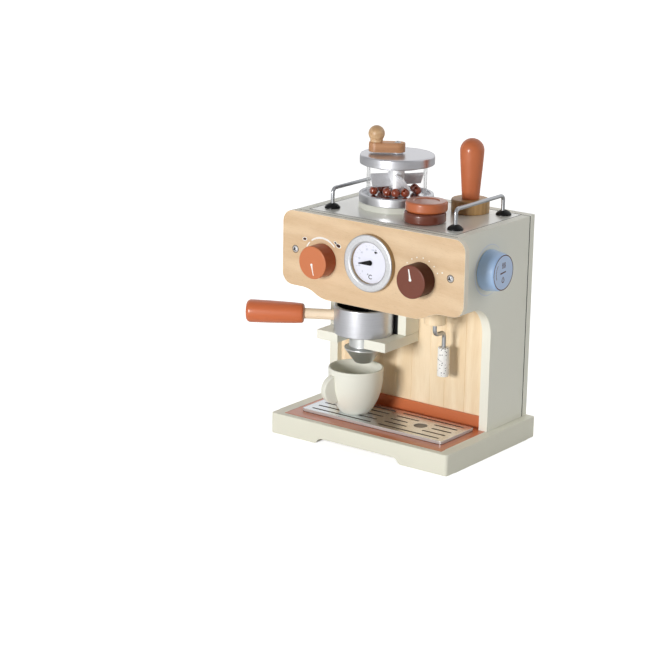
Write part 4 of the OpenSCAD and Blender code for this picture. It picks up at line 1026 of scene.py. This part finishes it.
def buildCrank(setup):
    x, y = grinderSetup["place"]

    def shaft(face):
        return math.dist(face.calc_center_median().xy, (x * mm, y * mm)) < setup["shaft"] * mm

    def armPart(face):
        # 1 for the hub below the arm and 2 for the arm's top, which gets a lighter copy of the beech as
        # painted light
        if face.normal.z > meshSetup["facing"]:
            return 2
        return face.calc_center_median().z < setup["hubTop"] * mm

    easedCopy("grinder_rotor", "silver_paint", setup["rotorEase"], finish=["rotor_silver", "steel"],
              second=shaft, segments=2)
    easedCopy("crank_arm", "beech", setup["armEase"], finish=["beech", "rotor_silver", "arm_top_painted_light"],
              second=armPart)
    place = around(-setup["ballAway"], setup["turn"], (x, y))
    addTurned("crank_ball", "beech", upAt(*place, setup["ballZ"]), setup["ball"], finish="ball_wood")


def beadShape(setup):
    # a ball with a flat, dark bore
    half, bore, ease = setup["size"] / 2, setup["bore"], setup["boreEase"]
    return turnedShape([(bore, setup["flat"] - half, ease)] + roundEnd(half, 0, -66, 67, 11)
                       + [(bore, half - setup["flat"], ease)], closed=True, steps=32)


def buildBeans(setup):
    # the beads lie on the tray, each at its own angle
    random.seed(setup["seed"])
    shape = bmesh.new()
    height = grinderSetup["tubeZ"] + setup["size"] / 2
    for away, direction in setup["places"]:
        bead = beadShape(setup)
        spun = Matrix.Rotation(random.uniform(0, math.pi), 4, "Z")
        tilted = Matrix.Rotation(random.uniform(*setup["tilt"]), 4, "X")
        place = upAt(*around(away, direction, grinderSetup["place"]), height)
        bmesh.ops.transform(bead, matrix=place @ spun @ tilted, verts=bead.verts)
        mesh = newMesh("bead", bead)
        shape.from_mesh(mesh)
        bpy.data.meshes.remove(mesh)
    addPiece("coffee_beans.turned", shape, "machine", "bean_stain", ["coffee_beans"])


buildHopper(grinderSetup)
buildCrank(crankSetup)
buildBeans(beanSetup)
print("grinder ready")

# Rails, pods and tamper

topSetup = {"z": 278.6}

railSetup = {
    "x": 89.0, "footY": (-34.0, 71.0),
    "foot": [(2.4, 0), (9.5, 0), (9.5, 1.4, 0.5), (7.6, 3.6, 1.5), (3.7, 5.9, 1.5), (2.4, 6.0)],
}

podSetup = {
    "brown": (38.5, -23.0), "orange": (37.4, -18.4), "height": 12.4,
    "outline": [(0, 0), (25.15, 0, 2.6), (25.15, 12.4, 2.6), (15.6, 12.4, 0.5), (14.6, 11.4, 0.4),
                (0, 11.4)],
}

tamperSetup = {
    "place": (49.4, 58.2), "baseHeight": 16.3,
    "base": [(0, 0), (23.3, 0, 1.6), (23.3, 16.3, 1.8), (0, 16.3)],
    "handle": [(0, 0), (10.5, 0, 0.6), (14.6, 54.0, 9.0)] + roundEnd(14.7, 59) + [(0, 73.7)],
}


def buildRails(setup):
    for name in ("rail_left", "rail_right"):
        easedCopy(name, "steel", 0)
    for sideName, side in (("left", -1), ("right", 1)):
        for endName, y in zip(("Front", "Rear"), setup["footY"]):
            foot = turnedShape(setup["foot"], closed=True, steps=48)
            addPiece(f"rail_foot.{sideName}{endName}", foot, "machine", "black_plastic", ["rail_feet"],
                     upAt(side * setup["x"], y, topSetup["z"]))


def buildPods(setup):
    for name, slotName, up in (("brown", "brown_paint", 0),
                               ("orange", "terracotta_paint", setup["height"])):
        addTurned(f"pod_{name}", slotName, upAt(*setup[name], topSetup["z"] + up), setup["outline"],
                  finish=f"pod_{name}_paint")


def buildTamper(setup):
    z = topSetup["z"]
    addTurned("tamper_base", "beech", upAt(*setup["place"], z), setup["base"], finish="tamper_wood")
    addTurned("tamper_handle", "terracotta_paint", upAt(*setup["place"], z + setup["baseHeight"]),
              setup["handle"])


# Mug

mugSetup = {
    "place": (-45.7, -38.4, 30.35), "rim": 33.9, "foot": 18.0, "height": 57.0, "wall": 2.6, "floor": 4.0,
    "power": 2.75,  # how soon the wall turns upright
    "rings": 24, "footEase": 0.6, "rimEase": 0.9,
}

earSetup = {
    "radius": 18.7, "thick": 9.5, "reach": 13.6, "height": 32.5, "turn": 22, "ease": 3.0,
    "sweep": 72, "step": 6,
}


def mugSide(setup):
    # the mug's outer wall, from its foot to its rim
    foot, rise, rings = setup["foot"], setup["rim"] - setup["foot"], setup["rings"]
    return [(foot + rise * (1 - (1 - step / rings) ** setup["power"]), setup["height"] * step / rings)
            for step in range(rings + 1)]


def buildMug(setup):
    foot, high, wall, floor = setup["foot"], setup["height"], setup["wall"], setup["floor"]
    side = mugSide(setup)
    rim = side[-1][0]
    outer = [(0, 0), (foot - 1, 0, setup["footEase"])] + side[1:-1] + [(rim, high, setup["rimEase"])]
    inner = [(rim - wall, high, setup["rimEase"])] + [
        (radius - wall, floor + (high - floor) * z / high) for radius, z in side[-2:1:-1]]
    addTurned("mug", "mug_paint", upAt(*setup["place"]),
              outer + inner + [(foot - wall - 1, floor), (0, floor)], smooth=50)


def earShape(setup, side):
    # a solid round handle to the right, that starts in the mug's wall
    radius, middle, half = setup["radius"], setup["height"], setup["thick"] / 2
    centre = mugSetup["rim"] + setup["reach"] - radius
    sweep, step = setup["sweep"], setup["step"]
    line = [around(radius, angle, (centre, middle)) for angle in range(-sweep, sweep + 1, step)]
    low, high = line[0][1], line[-1][1]
    line += [(reach - mugSetup["wall"] / 2, z) for reach, z in reversed(side) if low < z < high]
    shape = bmesh.new()
    face = shape.faces.new([shape.verts.new((x * mm, -half * mm, z * mm)) for x, z in line])
    grown = bmesh.ops.extrude_face_region(shape, geom=[face])["geom"]
    moved = [part for part in grown if isinstance(part, bmesh.types.BMVert)]
    bmesh.ops.translate(shape, verts=moved, vec=(0, 2 * half * mm, 0))
    bmesh.ops.recalc_face_normals(shape, faces=shape.faces)
    rims = [edge for edge in sharpEdges(shape, 60)
            if abs(edge.verts[0].co.y - edge.verts[1].co.y) < 0.1 * mm]
    rounded(shape, rims, setup["ease"], 6)
    return shape


def buildEar(setup):
    addPiece("mug_ear", earShape(setup, mugSide(mugSetup)), "play_mug", "mug_paint",
             place=upAt(*mugSetup["place"]) @ turnedBy(-90 - setup["turn"]))


# Drip grille

# dark: how high the sides' painted contact shadow reaches, in millimetres
grilleSetup = {"ease": 0.5, "markX": 49.5, "mark": 9.0, "edge": 1.0, "dark": 0.5, "skin": 0.2}


def buildGrille(setup):
    low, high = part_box("drip_grille")
    centreY = (low.y + high.y) / 2
    edge, mark = setup["edge"] * mm, setup["mark"] * mm

    def within(place):
        return all(low[axis] + edge < place[axis] < high[axis] - edge for axis in (0, 1))

    def part(face):
        # 1 for the slots' floors and walls and the painted contact shadow at the sides' foot, 2 for the
        # round marks, 3 for the sides above
        middle = face.calc_center_median()
        if not within(middle):
            return 3 if middle.z > low.z + setup["dark"] * mm else 1
        if not low.z + edge < middle.z < high.z - setup["skin"] * mm:
            return 0
        return 2 if math.hypot(abs(middle.x) - setup["markX"] * mm, middle.y - centreY) < mark else 1

    easedCopy("drip_grille", "steel", setup["ease"], second=part,
              keep=lambda found: all(within(vert.co) for vert in found.verts),
              finish=["grille_paint", "slot_print", "mark_print", "grille_edge"])


# Screws and small parts

screwSetup = {
    "crossed": {"fascia_screws": (1, -1), "crank_screw": (2, 1)},  # axis and side of their heads
    "cross": (0.3, 1.75),  # the cross's walls and floor lie this deep
    "floor": 0.999,  # how far their normals point along the axis, at least
    "wall": 0.02,  # and at most
    "coverEase": 0.4,
}


def buildScrews(setup):
    # domed heads whose cross recess is painted black as painted shade, and plain sunk heads in the cover
    near, far = [depth * mm for depth in setup["cross"]]
    for node, (axis, side) in setup["crossed"].items():
        low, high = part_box(node)
        front = high[axis] if side > 0 else low[axis]

        # the cross's walls and floor take black paint: painted shade in the recess
        def sunk(face):
            deep = near < (front - face.calc_center_median()[axis]) * side < far
            flat = abs(face.normal[axis])
            return deep and (flat > setup["floor"] or flat < setup["wall"])

        easedCopy(node, "steel", 0, finish=["screw_steel", "black_plastic"], second=sunk)
    easedCopy("cover_screws", "steel", setup["coverEase"], finish="screw_steel", segments=2)


restSetup = {
    "beech": ("assembly_dowels", "strength_retainer", "temperature_retainer", "steam_retainer"),
    "steel": ("strength_spindle", "temperature_spindle", "steam_spindle"),
    "black_plastic": ("gauge_pin",),
}


def finishRest(setup):
    # small CAD pieces keep their shape
    for finish, nodes in setup.items():
        for node in nodes:
            materials = frame["nodes"][node].data.materials
            materials.clear()
            materials.append(finishes[finish])


buildRails(railSetup)
buildPods(podSetup)
buildTamper(tamperSetup)
buildMug(mugSetup)
buildEar(earSetup)
buildGrille(grilleSetup)
buildScrews(screwSetup)
finishRest(restSetup)
print("top and grille ready")
